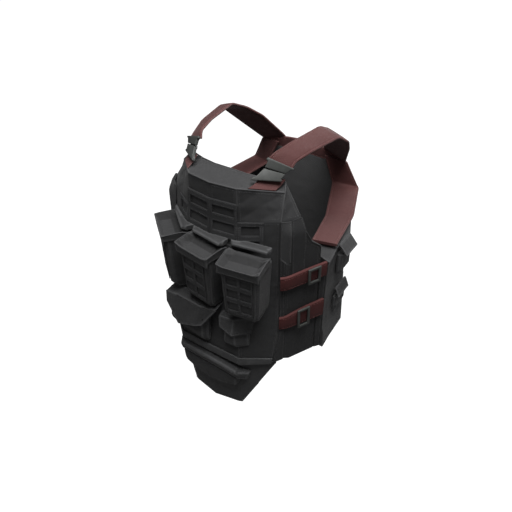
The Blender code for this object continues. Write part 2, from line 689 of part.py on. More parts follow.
def back_bag():
    """The back plate bag."""
    outer = []
    inner = []
    for row in BACK_BAG:
        half = [Vector((row.edge_x, row.edge_y, row.z)), Vector((row.ridge_x, row.ridge_y, row.z))]
        outer.append(across_middle(half, Vector((0.0, row.centre_y, row.z)))[::-1])
        lining = []
        for share in BACK_LINING_SHARE:
            y = row.lining_y - BACK_LINING_BEND * (1.0 - share * share)
            lining.append(Vector((row.edge_x * share, y, row.z)))
        inner.append(across_middle([lining[0], lining[1]], lining[-1])[::-1])
    slab("back_bag", outer, inner, "canvas")


def back_wraps():
    """The padded wraps: thin below, and as thick as the under-arm rim at the top."""
    outer = []
    inner = []
    for level in WRAP_LEVELS:
        front = [Vector((c.x, c.y, 0.0)) for c in BACK_WRAP]
        front = [point + point.normalized() * level.swell for point in front]
        heights = [Vector((0.0, 0.0, c.low_z + level.share * (c.top_z - c.low_z))) for c in BACK_WRAP]
        outer.append([point + height for point, height in zip(front, heights)])
        line = []
        for column in BACK_WRAP:
            x = column.thin_x + level.thick * (column.rim_x - column.thin_x)
            y = column.thin_y + level.thick * (column.rim_y - column.thin_y)
            line.append(Vector((x, y, column.low_z + level.share * (column.rim_z - column.low_z))))
        inner.append(line)
    for (side, front), (_, back) in zip(both_sides(outer), both_sides(inner)):
        slab("back_wrap_" + side, front, back, "canvas")


def back_pouches():
    """Two pouches with flaps on the side facet of each wrap."""
    near = BACK_WRAP[BACK_FACET[0]]
    far = BACK_WRAP[BACK_FACET[1]]
    start = Vector((near.x, near.y, 0.0))
    way = Vector((far.x - near.x, far.y - near.y, 0.0))
    outward = Vector((way.y, -way.x, 0.0)).normalized()

    def stand_off(share, z, lift):
        return start + way * share + outward * (BACK_POUCH_STAND + lift) + Vector((0.0, 0.0, z))

    for pouch in BACK_POUCHES:
        rows = ((pouch.low_z, POUCH_END), (pouch.low_z + BACK_POUCH_ROUND, 1.0), (pouch.top_z, 1.0))
        ends = (BACK_POUCH_SPAN[0], BACK_POUCH_SPAN[-1])
        outer = []
        inner = []
        for z, share in rows:
            lifts = [pouch.lift * share * (POUCH_END if place in ends else 1.0) for place in BACK_POUCH_SPAN]
            outer.append([stand_off(place, z, lift) for place, lift in zip(BACK_POUCH_SPAN, lifts)])
            inner.append([stand_off(place, z, 0.0) for place in BACK_POUCH_SPAN])
        section = (
            (pouch.tip_z, pouch.tip_lift),
            (pouch.crest_z, pouch.crest_lift),
            (pouch.crest_z + FLAP_RISE, BACK_POUCH_STAND),
        )
        flap = [[stand_off(place, z, lift) for place in BACK_FLAP_SPAN] for z, lift in section]
        for (side, front), (_, back) in zip(both_sides(outer), both_sides(inner)):
            slab("back_pouch_{}_{}".format(pouch.name, side), front, back, "canvas")
        for side, cloth in both_sides(flap):
            sheet("back_flap_{}_{}".format(pouch.name, side), cloth, FLAP_CLOTH, "canvas")


def pair_grid(pairs):
    """A grid of two columns from pairs of edge points."""
    return [[Vector(pair.neck), Vector(pair.arm)] for pair in pairs]


def buckle_grid(profile):
    """A waisted plate along the buckle's line: a table of places along it and widths."""
    grid = []
    line = pair_grid(BUCKLE_LINE)
    for row in profile:
        place = row.along * (len(line) - 1)
        index = min(int(place), len(line) - 2)
        share = place - index
        neck = line[index][0].lerp(line[index + 1][0], share)
        arm = line[index][1].lerp(line[index + 1][1], share)
        middle = neck.lerp(arm, 0.5)
        grid.append([middle + (neck - middle) * row.width, middle + (arm - middle) * row.width])
    return grid


def harness():
    """Strap bases, shoulder buckles, shoulder straps, under-arm bands and the back yoke."""
    for side, grid in both_sides(pair_grid(STRAP_BASE)):
        sheet("strap_base_" + side, grid, WEBBING, "harness")
    for side, grid in both_sides(buckle_grid(BUCKLE_PLATE)):
        sheet("buckle_plate_" + side, grid, BUCKLE_THICKNESS, "buckle")
    for side, grid in both_sides(buckle_grid(BUCKLE_SOCKET)):
        sheet("buckle_socket_" + side, grid, BUCKLE_THICKNESS, "buckle")
    for side, grid in both_sides(pair_grid(SHOULDER)):
        sheet("shoulder_strap_" + side, grid, STRAP, "harness", lift=-STRAP)
    for side, grid in both_sides(pair_grid(UNDERARM)):
        sheet("underarm_band_" + side, grid, UNDERARM_THICKNESS, "harness", lift=-UNDERARM_THICKNESS)
    grid = []
    for column in ("low_z", "top_z"):
        half = [Vector((c.x, c.y, getattr(c, column))) for c in YOKE[:-1]]
        middle = Vector((YOKE[-1].x, YOKE[-1].y, getattr(YOKE[-1], column)))
        grid.append(across_middle(half, middle)[::-1])
    sheet("back_yoke", grid, YOKE_THICKNESS, "harness", lift=-YOKE_THICKNESS)


def clear_scene():
    """Removes what the scene holds when it opens."""
    for old in list(bpy.data.objects):
        bpy.data.objects.remove(old, do_unlink=True)


def main():
    """Builds every piece in order, from the front bag to the harness."""
    clear_scene()
    front_panel()
    hem_band()
    chest_webbing()
    for seat in MAG_SEATS:
        mag_body(seat)
        mag_webbing(seat)
        mag_flap(seat)
        mag_roll(seat)
    low_pouch("utility", UTILITY_FLAP, UTILITY_BODY, UTILITY_ROWS)
    low_pouch("belly", BELLY_FLAP, BELLY_BODY, BELLY_ROWS)
    groin_flap()
    groin_pocket()
    groin_roll()
    side_panels()
    side_straps()
    back_bag()
    back_wraps()
    back_pouches()
    harness()


main()
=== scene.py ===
"""Plate carrier: the sewn, padded and moulded look of every piece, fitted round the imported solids.

Lengths are in metres in the row frame: x runs to the wearer's left, the front faces -Y, and the
origin lies between the shoulder straps. Places on straps and laps are written as measured up from
the lower flap's tip, and worn() moves them to the row frame.

Stuffed pieces are remeshed from their solids, held at their seams and blown up in one cloth
simulation. Straps are lofted between their two edges. Buckles and webbing keep their solid's shape
with rounded edges. Piping and thread are meshes of their own.
"""
import logging
import math
from abc import ABC, abstractmethod
from dataclasses import dataclass, field, replace
from enum import Enum
from typing import Callable, ClassVar, Sequence

import bmesh
import bpy
import numpy as np
from mathutils import Matrix, Vector, kdtree, noise
from mathutils.bvhtree import BVHTree


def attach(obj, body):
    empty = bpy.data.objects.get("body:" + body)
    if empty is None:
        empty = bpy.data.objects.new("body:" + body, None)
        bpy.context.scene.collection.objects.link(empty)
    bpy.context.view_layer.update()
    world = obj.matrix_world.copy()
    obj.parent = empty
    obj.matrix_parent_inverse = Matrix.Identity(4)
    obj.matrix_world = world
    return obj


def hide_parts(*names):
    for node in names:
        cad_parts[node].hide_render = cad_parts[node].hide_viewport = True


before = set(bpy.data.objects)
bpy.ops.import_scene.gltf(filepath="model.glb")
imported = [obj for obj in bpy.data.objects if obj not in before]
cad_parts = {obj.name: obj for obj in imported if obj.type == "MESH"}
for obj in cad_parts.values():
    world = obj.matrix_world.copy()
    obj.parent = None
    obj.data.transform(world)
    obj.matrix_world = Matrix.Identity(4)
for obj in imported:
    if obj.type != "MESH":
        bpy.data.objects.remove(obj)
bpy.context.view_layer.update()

Colour = tuple[float, float, float]
Point = tuple[float, float, float]
Stitch = tuple[Vector, Vector, Vector]
FaceTest = Callable[[Vector], bool]

LOG = logging.getLogger("plate_carrier")
BODY = "root"
# The origin, as seen from the lower flap's tip.
HANG = Vector((0.0, 0.058, 0.605))
FRONT = Vector((0.0, -1.0, 0.0))
BACK = Vector((0.0, 1.0, 0.0))
UP = Vector((0.0, 0.0, 1.0))


class Slot(Enum):
    """Material slots of the record."""

    CANVAS = "canvas"
    DARK = "dark_canvas"
    HARNESS = "harness_webbing"
    PLASTIC = "buckle_plastic"


class Side(Enum):
    """The wearer's two sides, with the sign of x there."""

    LEFT = ("left", 1.0)
    RIGHT = ("right", -1.0)

    @property
    def label(self) -> str:
        """The side's word in the names of nodes."""
        return self.value[0]

    @property
    def sign(self) -> float:
        """Plus one on the wearer's left, minus one on the right."""
        return self.value[1]


# Shader node groups --------------------------------------------------------------------------


class Effect:
    """A shader node group that several finishes place with their own values."""

    def __init__(self, name: str, values: dict[str, float], outputs: Sequence[str],
                 vectors: Sequence[str] = ("Vector",)) -> None:
        """Makes the empty group.

        Args:
            name: the group's name.
            values: name and default of each float input.
            outputs: names of the float outputs.
            vectors: names of the vector inputs.
        """
        self.tree = bpy.data.node_groups.new(name, "ShaderNodeTree")
        for title in vectors:
            self.tree.interface.new_socket(title, in_out="INPUT", socket_type="NodeSocketVector")
        for title, default in values.items():
            socket = self.tree.interface.new_socket(title, in_out="INPUT", socket_type="NodeSocketFloat")
            socket.default_value = default
        for title in outputs:
            self.tree.interface.new_socket(title, in_out="OUTPUT", socket_type="NodeSocketFloat")
        self.source = self.tree.nodes.new("NodeGroupInput")
        self.sink = self.tree.nodes.new("NodeGroupOutput")

    def node(self, kind: str) -> bpy.types.Node:
        """Adds a node of a kind."""
        return self.tree.nodes.new("ShaderNode" + kind)

    def given(self, title: str) -> bpy.types.NodeSocket:
        """The value that a material passes to one of the group's inputs."""
        return self.source.outputs[title]

    def give(self, title: str, value: bpy.types.NodeSocket) -> None:
        """Sends a value out through one of the group's outputs."""
        self.link(value, self.sink.inputs[title])

    def link(self, start: bpy.types.NodeSocket, end: bpy.types.NodeSocket) -> None:
        """Joins an output to an input."""
        self.tree.links.new(start, end)

    def math(self, operation: str, first: object, second: object = None) -> bpy.types.NodeSocket:
        """Adds a Math node.

        Args:
            operation: the node's operation.
            first: an output socket or a number.
            second: an output socket, a number or nothing.

        Returns:
            The node's output.
        """
        made = self.node("Math")
        made.operation = operation
        for socket, value in zip(made.inputs, (first, second)):
            if isinstance(value, (int, float)):
                socket.default_value = value
            elif value is not None:
                self.link(value, socket)
        return made.outputs[0]


def weave_effect() -> bpy.types.NodeTree:
    """A plain weave on all three planes, blended by the surface's direction.

    Returns:
        A group with Height, the threads' relief, and Gap, one between the threads.
    """
    effect = Effect("thread_weave", {"Pitch": 0.001}, ("Height", "Gap"), ("Vector", "Normal"))
    place = effect.node("SeparateXYZ")
    normal = effect.node("SeparateXYZ")
    effect.link(effect.given("Vector"), place.inputs[0])
    effect.link(effect.given("Normal"), normal.inputs[0])
    turns = effect.math("DIVIDE", math.pi, effect.given("Pitch"))
    waves = [effect.math("SINE", effect.math("MULTIPLY", axis, turns)) for axis in place.outputs]
    total = None
    for axis, (first, second) in enumerate(((1, 2), (0, 2), (0, 1))):
        weight = effect.math("POWER", effect.math("ABSOLUTE", normal.outputs[axis]), 2.0)
        share = effect.math("MULTIPLY", effect.math("MULTIPLY", waves[first], waves[second]), weight)
        total = share if total is None else effect.math("ADD", total, share)
    height = effect.math("ADD", effect.math("MULTIPLY", total, 0.5), 0.5)
    effect.give("Height", height)
    effect.give("Gap", effect.math("SUBTRACT", 1.0, effect.math("POWER", height, 0.5)))
    return effect.tree


def mottle_effect() -> bpy.types.NodeTree:
    """Uneven dye and dust: broad patches with fine specks in them.

    Returns:
        A group with Value, from 0 to 1.
    """
    effect = Effect("dye_mottle", {"Scale": 14.0}, ("Value",))
    shares = []
    for finer, detail, share in ((1.0, 3.0, 0.7), (9.0, 2.0, 0.3)):
        texture = effect.node("TexNoise")
        effect.link(effect.given("Vector"), texture.inputs["Vector"])
        effect.link(effect.math("MULTIPLY", effect.given("Scale"), finer), texture.inputs["Scale"])
        texture.inputs["Detail"].default_value = detail
        shares.append(effect.math("MULTIPLY", texture.outputs[0], share))
    spread = effect.node("MapRange")
    effect.link(effect.math("ADD", *shares), spread.inputs["Value"])
    spread.inputs["From Min"].default_value = 0.34
    spread.inputs["From Max"].default_value = 0.66
    effect.give("Value", spread.outputs["Result"])
    return effect.tree


def rub_and_highlight_effect() -> bpy.types.NodeTree:
    """Edge wear with a painted highlight: strong along the rim and broken up by noise.

    Returns:
        A group with Mask, one where the edge is worn and painted lighter.
    """
    effect = Effect("edge_rub_and_highlight", {"Rim": 0.0, "Amount": 0.5}, ("Mask",))
    breaks = effect.node("TexNoise")
    effect.link(effect.given("Vector"), breaks.inputs["Vector"])
    breaks.inputs["Scale"].default_value = 90.0
    breaks.inputs["Detail"].default_value = 3.0
    uneven = effect.math("ADD", effect.math("MULTIPLY", breaks.outputs[0], 1.3), 0.25)
    broken = effect.math("MULTIPLY", effect.given("Rim"), uneven)
    rubbed_and_lit = effect.math("MULTIPLY", broken, effect.given("Amount"))
    effect.give("Mask", effect.math("MINIMUM", rubbed_and_lit, 1.0))
    return effect.tree


# Finishes ------------------------------------------------------------------------------------


@dataclass(frozen=True)
class Finish:
    """Colours and surface of one cloth, thread or plastic.

    The base colour fades in patches, by the mottle, and turns lighter along edges, by rub_and_highlight,
    which stands for wear and a painted highlight there. Where a piece carries a shade mark, painted shade
    darkens it. The pitch is the distance between two threads, and the relief says how clearly they stand out.
    """

    name: str
    slot: Slot
    base: Colour
    faded: Colour
    rubbed_and_lit: Colour
    pitch: float
    relief: float
    rub_and_highlight: float
    roughness: float = 0.80
    sheen: float = 0.05
    mottle: float = 0.5
    specular: float = 0.3

    # The gaps between threads are a darker tone of the base colour, and painted shade, where a piece is
    # marked for it, mixes in a darker tone still.
    GAP_TONE: ClassVar[float] = 0.35
    GAP_SHARE: ClassVar[float] = 0.45
    PAINTED_SHADE_TONE: ClassVar[float] = 0.3
    PAINTED_SHADE_SHARE: ClassVar[float] = 0.8
    DUST_SMOOTHING: ClassVar[float] = 0.12
    THREAD_RISE: ClassVar[float] = 0.4
    SHEEN_ROUGHNESS: ClassVar[float] = 0.5

    def material(self, effects: dict[str, bpy.types.NodeTree]) -> bpy.types.Material:
        """Builds the finish's material.

        Args:
            effects: the shared node groups by name.

        Returns:
            The material.
        """
        made = bpy.data.materials.new(self.name)
        made.use_nodes = True
        tree = made.node_tree
        shader = tree.nodes["Principled BSDF"]
        shader.inputs["Sheen Weight"].default_value = self.sheen
        shader.inputs["Sheen Roughness"].default_value = self.SHEEN_ROUGHNESS
        shader.inputs["Specular IOR Level"].default_value = self.specular
        where = tree.nodes.new("ShaderNodeTexCoord")
        marks = {}
        for title in ("rim", "shade"):
            marks[title] = tree.nodes.new("ShaderNodeAttribute")
            marks[title].attribute_name = title
        groups = {}
        for title, group in effects.items():
            groups[title] = tree.nodes.new("ShaderNodeGroup")
            groups[title].node_tree = group
            tree.links.new(where.outputs["Object"], groups[title].inputs["Vector"])
        tree.links.new(where.outputs["Normal"], groups["weave"].inputs["Normal"])
        groups["weave"].inputs["Pitch"].default_value = self.pitch
        tree.links.new(marks["rim"].outputs["Fac"], groups["rub_and_highlight"].inputs["Rim"])
        groups["rub_and_highlight"].inputs["Amount"].default_value = self.rub_and_highlight
        dyed = self._mix(tree, groups["mottle"].outputs["Value"], self.base, self.faded, self.mottle)
        gap, painted_shade = (tuple(tone * part for part in self.base) for tone in (self.GAP_TONE, self.PAINTED_SHADE_TONE))
        woven = self._mix(tree, groups["weave"].outputs["Gap"], dyed, gap, self.GAP_SHARE)
        # Edges turn lighter: wear and a painted highlight.
        rubbed_and_lit = self._mix(tree, groups["rub_and_highlight"].outputs["Mask"], woven, self.rubbed_and_lit, 1.0)
        # Painted shade: where a piece's shade mark says so, the colour darkens towards a dark tone of the
        # base.
        shaded = self._mix(tree, marks["shade"].outputs["Fac"], rubbed_and_lit, painted_shade, self.PAINTED_SHADE_SHARE)
        tree.links.new(shaded, shader.inputs["Base Color"])
        rough = tree.nodes.new("ShaderNodeMapRange")
        tree.links.new(groups["mottle"].outputs["Value"], rough.inputs["Value"])
        rough.inputs["To Min"].default_value = self.roughness
        rough.inputs["To Max"].default_value = self.roughness - self.DUST_SMOOTHING
        tree.links.new(rough.outputs["Result"], shader.inputs["Roughness"])
        bump = tree.nodes.new("ShaderNodeBump")
        bump.inputs["Strength"].default_value = self.relief
        bump.inputs["Distance"].default_value = self.THREAD_RISE * self.pitch
        tree.links.new(groups["weave"].outputs["Height"], bump.inputs["Height"])
        tree.links.new(bump.outputs["Normal"], shader.inputs["Normal"])
        return made

    @staticmethod
    def _mix(tree: bpy.types.NodeTree, mask: bpy.types.NodeSocket, first: object, second: object,
             amount: float) -> bpy.types.NodeSocket:
        """Mixes two colours by a mask times an amount.

        Args:
            tree: the material's nodes.
            mask: where the second colour shows.
            first: a colour or an output.
            second: a colour or an output.
            amount: how much of the second colour shows at most.

        Returns:
            The mixed colour's output.
        """
        scaled = tree.nodes.new("ShaderNodeMath")
        scaled.operation = "MULTIPLY"
        scaled.inputs[1].default_value = amount
        tree.links.new(mask, scaled.inputs[0])
        mix = tree.nodes.new("ShaderNodeMix")
        mix.data_type = "RGBA"
        tree.links.new(scaled.outputs[0], mix.inputs[0])
        for socket, value in ((mix.inputs[6], first), (mix.inputs[7], second)):
            if isinstance(value, tuple):
                socket.default_value = (*value, 1.0)
            else:
                tree.links.new(value, socket)
        return mix.outputs[2]


CANVAS = Finish(
    "charcoal_canvas", Slot.CANVAS, base=(0.027, 0.027, 0.028), faded=(0.040, 0.040, 0.041),
    rubbed_and_lit=(0.085, 0.086, 0.088), pitch=0.0011, relief=0.55, rub_and_highlight=0.75, sheen=0.06, mottle=0.6)
# A lighter copy of the canvas: painted light on the low flap, the belly pouch and the gusset, which the lamps
# leave too dark.
LIT_CANVAS = replace(
    CANVAS, name="lit_canvas", base=(0.040, 0.040, 0.041), faded=(0.058, 0.058, 0.060),
    rubbed_and_lit=(0.095, 0.096, 0.098), sheen=0.07)
# A spacer lining for the back bag's inside, made lighter as painted light where the inside lies in shade.
LIT_LINING = Finish(
    "lit_spacer_lining", Slot.CANVAS, base=(0.050, 0.050, 0.051), faded=(0.066, 0.066, 0.067),
    rubbed_and_lit=(0.085, 0.085, 0.087), pitch=0.0024, relief=0.8, rub_and_highlight=0.4, roughness=0.85, sheen=0.06)
SPACER = Finish(
    "dark_padding", Slot.DARK, base=(0.022, 0.022, 0.023), faded=(0.031, 0.031, 0.032),
    rubbed_and_lit=(0.06, 0.06, 0.061), pitch=0.0019, relief=0.7, rub_and_highlight=0.25, roughness=0.88)
WEBBING = Finish(
    "charcoal_webbing", Slot.DARK, base=(0.023, 0.023, 0.024), faded=(0.032, 0.032, 0.033),
    rubbed_and_lit=(0.050, 0.050, 0.052), pitch=0.0016, relief=0.8, rub_and_highlight=0.4, sheen=0.03)
HARNESS = Finish(
    "burgundy_webbing", Slot.HARNESS, base=(0.066, 0.0195, 0.018), faded=(0.092, 0.030, 0.028),
    rubbed_and_lit=(0.13, 0.060, 0.057), pitch=0.0016, relief=0.75, rub_and_highlight=0.7, roughness=0.76, sheen=0.08, mottle=0.6)
# A darker, redder copy of the harness webbing for the side straps: painted shade, as they hang in shade.
SHADED_SIDE_WEBBING = replace(
    HARNESS, name="shaded_burgundy_webbing", base=(0.060, 0.0125, 0.012), faded=(0.080, 0.019, 0.018),
    rubbed_and_lit=(0.105, 0.036, 0.034), rub_and_highlight=0.6, roughness=0.80, sheen=0.02)
# Lighter than the canvas: the binding's own tone and, in part, a painted highlight along the edges that it
# binds.
BINDING = Finish(
    "charcoal_binding", Slot.CANVAS, base=(0.038, 0.038, 0.039), faded=(0.052, 0.052, 0.054),
    rubbed_and_lit=(0.095, 0.095, 0.098), pitch=0.0008, relief=0.6, rub_and_highlight=0.3, roughness=0.74, sheen=0.06)
THREAD = Finish(
    "charcoal_thread", Slot.CANVAS, base=(0.060, 0.060, 0.062), faded=(0.080, 0.080, 0.082),
    rubbed_and_lit=(0.10, 0.10, 0.102), pitch=0.0004, relief=0.3, rub_and_highlight=0.0, roughness=0.7)
HARNESS_THREAD = replace(
    THREAD, name="burgundy_thread", slot=Slot.HARNESS, base=(0.20, 0.085, 0.08), faded=(0.25, 0.12, 0.115),
    rubbed_and_lit=(0.28, 0.14, 0.135))
PLASTIC = Finish(
    "moulded_nylon", Slot.PLASTIC, base=(0.021, 0.023, 0.021), faded=(0.028, 0.030, 0.028),
    rubbed_and_lit=(0.075, 0.079, 0.075), pitch=0.0007, relief=0.12, rub_and_highlight=0.6, roughness=0.58, sheen=0.0,
    specular=0.35)
FINISHES = (CANVAS, LIT_CANVAS, SPACER, WEBBING, HARNESS, SHADED_SIDE_WEBBING, BINDING, THREAD, HARNESS_THREAD,
            PLASTIC, LIT_LINING)


# Solids and their seams ----------------------------------------------------------------------


# Faces that turn less than this many degrees are one face, and points closer than this are one corner.
FLAT_TURN = 1.0
CORNER_GRID = 1e-5
# How far apart two seams' folds are taken from the noise, so that they differ.
SEAM_NOISE_STEP = 7.3


@dataclass(frozen=True)
class Seam:
    """A crease of a solid: its ends, how far it turns in degrees, and the faces beside it."""

    start: Vector
    end: Vector
    angle: float
    normals: tuple[Vector, Vector]
    inward: tuple[Vector, Vector]

    @property
    def length(self) -> float:
        """The seam's length."""
        return (self.end - self.start).length

    @property
    def along(self) -> Vector:
        """The seam's direction."""
        return (self.end - self.start).normalized()


def worn(place: Point) -> Vector:
    """A place measured up from the lower flap's tip, in the row frame."""
    return Vector(place) - HANG


def mirrored(place: Vector, sign: float) -> Vector:
    """A place or direction on the wearer's left, moved to the side that the sign says."""
    return Vector((sign * place.x, place.y, place.z))


def facing(way: Vector, least: float) -> FaceTest:
    """A test of directions.

    Args:
        way: the direction to turn to.
        least: how far a direction has to turn that way, from -1 to 1.

    Returns:
        A function that says whether a normal does.
    """
    return lambda normal: normal.dot(way) > least


def anywhere(normal: Vector) -> bool:
    """A test that every direction passes."""
    return True


def corner_key(point: Vector) -> tuple[int, ...]:
    """The same key for all points that make one corner."""
    return tuple(round(value / CORNER_GRID) for value in point)


def solid(node: str) -> bmesh.types.BMesh:
    """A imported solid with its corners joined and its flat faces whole.

    Args:
        node: the solid's name.

    Returns:
        A mesh that the caller frees.
    """
    build = bmesh.new()
    build.from_mesh(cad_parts[node].data)
    bmesh.ops.remove_doubles(build, verts=build.verts, dist=2.0 * CORNER_GRID)
    bmesh.ops.dissolve_limit(build, angle_limit=math.radians(FLAT_TURN), verts=build.verts, edges=build.edges)
    bmesh.ops.recalc_face_normals(build, faces=build.faces)
    build.normal_update()
    return build


def seams(build: bmesh.types.BMesh, least: float) -> list[Seam]:
    """The creases of a solid.

    Args:
        build: the solid.
        least: the least turn between two faces, in degrees, outward or inward.

    Returns:
        One seam for each crease; the angle of a hollow one is negative.
    """
    found = []
    for edge in build.edges:
        if len(edge.link_faces) != 2:
            continue
        angle = math.degrees(edge.calc_face_angle_signed())
        if abs(angle) < least:
            continue
        start, end = (corner.co.copy() for corner in edge.verts)
        along = (end - start).normalized()
        inward = []
        for loop in edge.link_loops:
            way = loop.face.normal.cross(along)
            inward.append(way if loop.vert is edge.verts[0] else -way)
        normals = tuple(face.normal.copy() for face in edge.link_faces)
        found.append(Seam(start, end, angle, normals, tuple(inward)))
    return found


def samples(lines: Sequence[Seam], step: float) -> kdtree.KDTree:
    """Points along seams in a tree that finds the nearest and its seam's number.

    Args:
        lines: the seams.
        step: the distance between points.

    Returns:
        The balanced tree.
    """
    points = []
    for number, seam in enumerate(lines):
        count = max(1, math.ceil(seam.length / step))
        points += [(seam.start.lerp(seam.end, index / count), number) for index in range(count + 1)]
    tree = kdtree.KDTree(max(1, len(points)))
    for point, number in points:
        tree.insert(point, number)
    tree.balance()
    return tree


def coordinates(mesh: bpy.types.Mesh) -> np.ndarray:
    """All of a mesh's points.

    Args:
        mesh: the mesh.

    Returns:
        One row for each point.
    """
    flat = np.empty(3 * len(mesh.vertices), np.float32)
    mesh.vertices.foreach_get("co", flat)
    return flat.reshape(-1, 3)


def point_normals(mesh: bpy.types.Mesh) -> np.ndarray:
    """The normals at all of a mesh's points.

    Args:
        mesh: the mesh.

    Returns:
        One row for each point.
    """
    flat = np.empty(3 * len(mesh.vertices), np.float32)
    mesh.vertex_normals.foreach_get("vector", flat)
    return flat.reshape(-1, 3)


def move(mesh: bpy.types.Mesh, points: np.ndarray) -> None:
    """Puts a mesh's points at the rows of an array."""
    mesh.vertices.foreach_set("co", np.ascontiguousarray(points, np.float32).ravel())
    mesh.update()


def smooth_faces(mesh: bpy.types.Mesh) -> None:
    """Shades all faces of a mesh smoothly."""
    mesh.polygons.foreach_set("use_smooth", [True] * len(mesh.polygons))


def mark(mesh: bpy.types.Mesh, title: str, values: Sequence[float]) -> None:
    """Stores one value for each point, which the finishes read by its title."""
    mesh.attributes.new(title, "FLOAT", "POINT").data.foreach_set("value", values)


def put_in_scene(name: str, data: bpy.types.ID) -> bpy.types.Object:
    """Makes an object of a mesh, curve, lamp or camera and puts it in the scene.

    Args:
        name: the object's name.
        data: what it shows.

    Returns:
        The object.
    """
    made = bpy.data.objects.new(name, data)
    bpy.context.scene.collection.objects.link(made)
    return made


def distances(points: np.ndarray, tree: kdtree.KDTree) -> np.ndarray:
    """How far each point is from the nearest in a tree."""
    return np.array([tree.find(Vector(map(float, point)))[2] for point in points], np.float32)


def gathers(points: np.ndarray, lines: Sequence[Seam], tree: kdtree.KDTree, pace: float) -> np.ndarray:
    """Small folds that run away from the seams.

    Args:
        points: the cloth's points.
        lines: its seams.
        tree: points along the seams.
        pace: folds per metre of seam.

    Returns:
        A rise for each point, from about -1 to 1.
    """
    rises = []
    for point in points:
        place = Vector(map(float, point))
        number = tree.find(place)[1]
        along = place.dot(lines[number].along)
        rises.append(noise.noise(Vector((along * pace, SEAM_NOISE_STEP * number, 0.5))))
    return np.array(rises, np.float32)


def surfaces(leave_out: str) -> BVHTree:
    """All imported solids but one, to find how much room a piece has.

    Args:
        leave_out: the solid that is left out.

    Returns:
        One tree of all their faces.
    """
    corners: list[Vector] = []
    faces: list[tuple[int, ...]] = []
    for name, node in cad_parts.items():
        if name == leave_out:
            continue
        base = len(corners)
        corners += [corner.co.copy() for corner in node.data.vertices]
        faces += [tuple(base + index for index in face.vertices) for face in node.data.polygons]
    return BVHTree.FromPolygons(corners, faces)


def evaluated(piece: bpy.types.Object) -> bpy.types.Mesh:
    """A copy of a piece's mesh with its modifiers applied."""
    graph = bpy.context.evaluated_depsgraph_get()
    return bpy.data.meshes.new_from_object(piece.evaluated_get(graph))


def chains(lines: Sequence[Seam], widest: float) -> list[list[Vector]]:
    """Joins seams end to end into long paths.

    Args:
        lines: the seams.
        widest: the largest turn, in degrees, that a path takes at a corner.

    Returns:
        Paths of points; a closed one ends where it starts.
    """
    ends: dict[tuple[int, ...], list[int]] = {}
    for index, seam in enumerate(lines):
        for point in (seam.start, seam.end):
            ends.setdefault(corner_key(point), []).append(index)
    unused = set(range(len(lines)))
    paths = []
    while unused:
        first = min(unused)
        unused.remove(first)
        path = [lines[first].start, lines[first].end]
        for _ in range(2):
            _lengthen(path, lines, ends, unused, widest)
            path.reverse()
        paths.append(path)
    return paths


def _lengthen(path: list[Vector], lines: Sequence[Seam], ends: dict[tuple[int, ...], list[int]],
              unused: set[int], widest: float) -> None:
    """Adds seams to a path's end, the straightest first, until none fits.

    Args:
        path: the path, which grows.
        lines: the seams.
        ends: the numbers of the seams that meet at each corner.
        unused: the numbers of the seams that are in no path, which shrinks.
        widest: the largest turn, in degrees, at a corner.
    """
    while True:
        here = path[-1]
        way = (path[-1] - path[-2]).normalized()
        best = None
        for index in ends[corner_key(here)]:
            if index not in unused:
                continue
            seam = lines[index]
            other = seam.end if corner_key(seam.start) == corner_key(here) else seam.start
            turn = math.degrees(way.angle(other - here, 0.0))
            if turn < widest and (best is None or turn < best[0]):
                best = (turn, index, other)
        if best is None:
            return
        unused.remove(best[1])
        path.append(best[2])


# Making pieces -------------------------------------------------------------------------------


@dataclass(frozen=True)
class Padding:
    """How a solid is stuffed.

    The voxel is the size of the new mesh's faces, and the inset how far they start inside the solid. The
    cap is the furthest that the pressure may push the cloth out. It is held within some reach of its
    seams, and puckers there.
    """

    voxel: float
    cap: float
    pressure: float
    held: float
    pucker: float
    inset: float = 0.0002
    fill: float = 0.6
    smooth: int = 2


@dataclass
class Pad:
    """A stuffed piece between its remesh and its finish.

    For each point it keeps the reach to the nearest seam, the room to the next solid and its fold.
    """

    piece: bpy.types.Object
    padding: Padding
    reach: np.ndarray
    room: np.ndarray
    folds: np.ndarray
    rim: kdtree.KDTree
    lines: list[Seam]

    @property
    def held(self) -> np.ndarray:
        """How firmly each point is held by the seams, from 0 to 1."""
        return np.exp(-((self.reach / self.padding.held) ** 2))

    def edges(self, least: float, keep: FaceTest = anywhere) -> list[Seam]:
        """Chooses seams, for piping or binding.

        Args:
            least: the least turn of a seam, in degrees.
            keep: a test that one of the two faces beside the seam has to pass.

        Returns:
            The chosen seams.
        """
        return [line for line in self.lines if line.angle > least and any(map(keep, line.normals))]


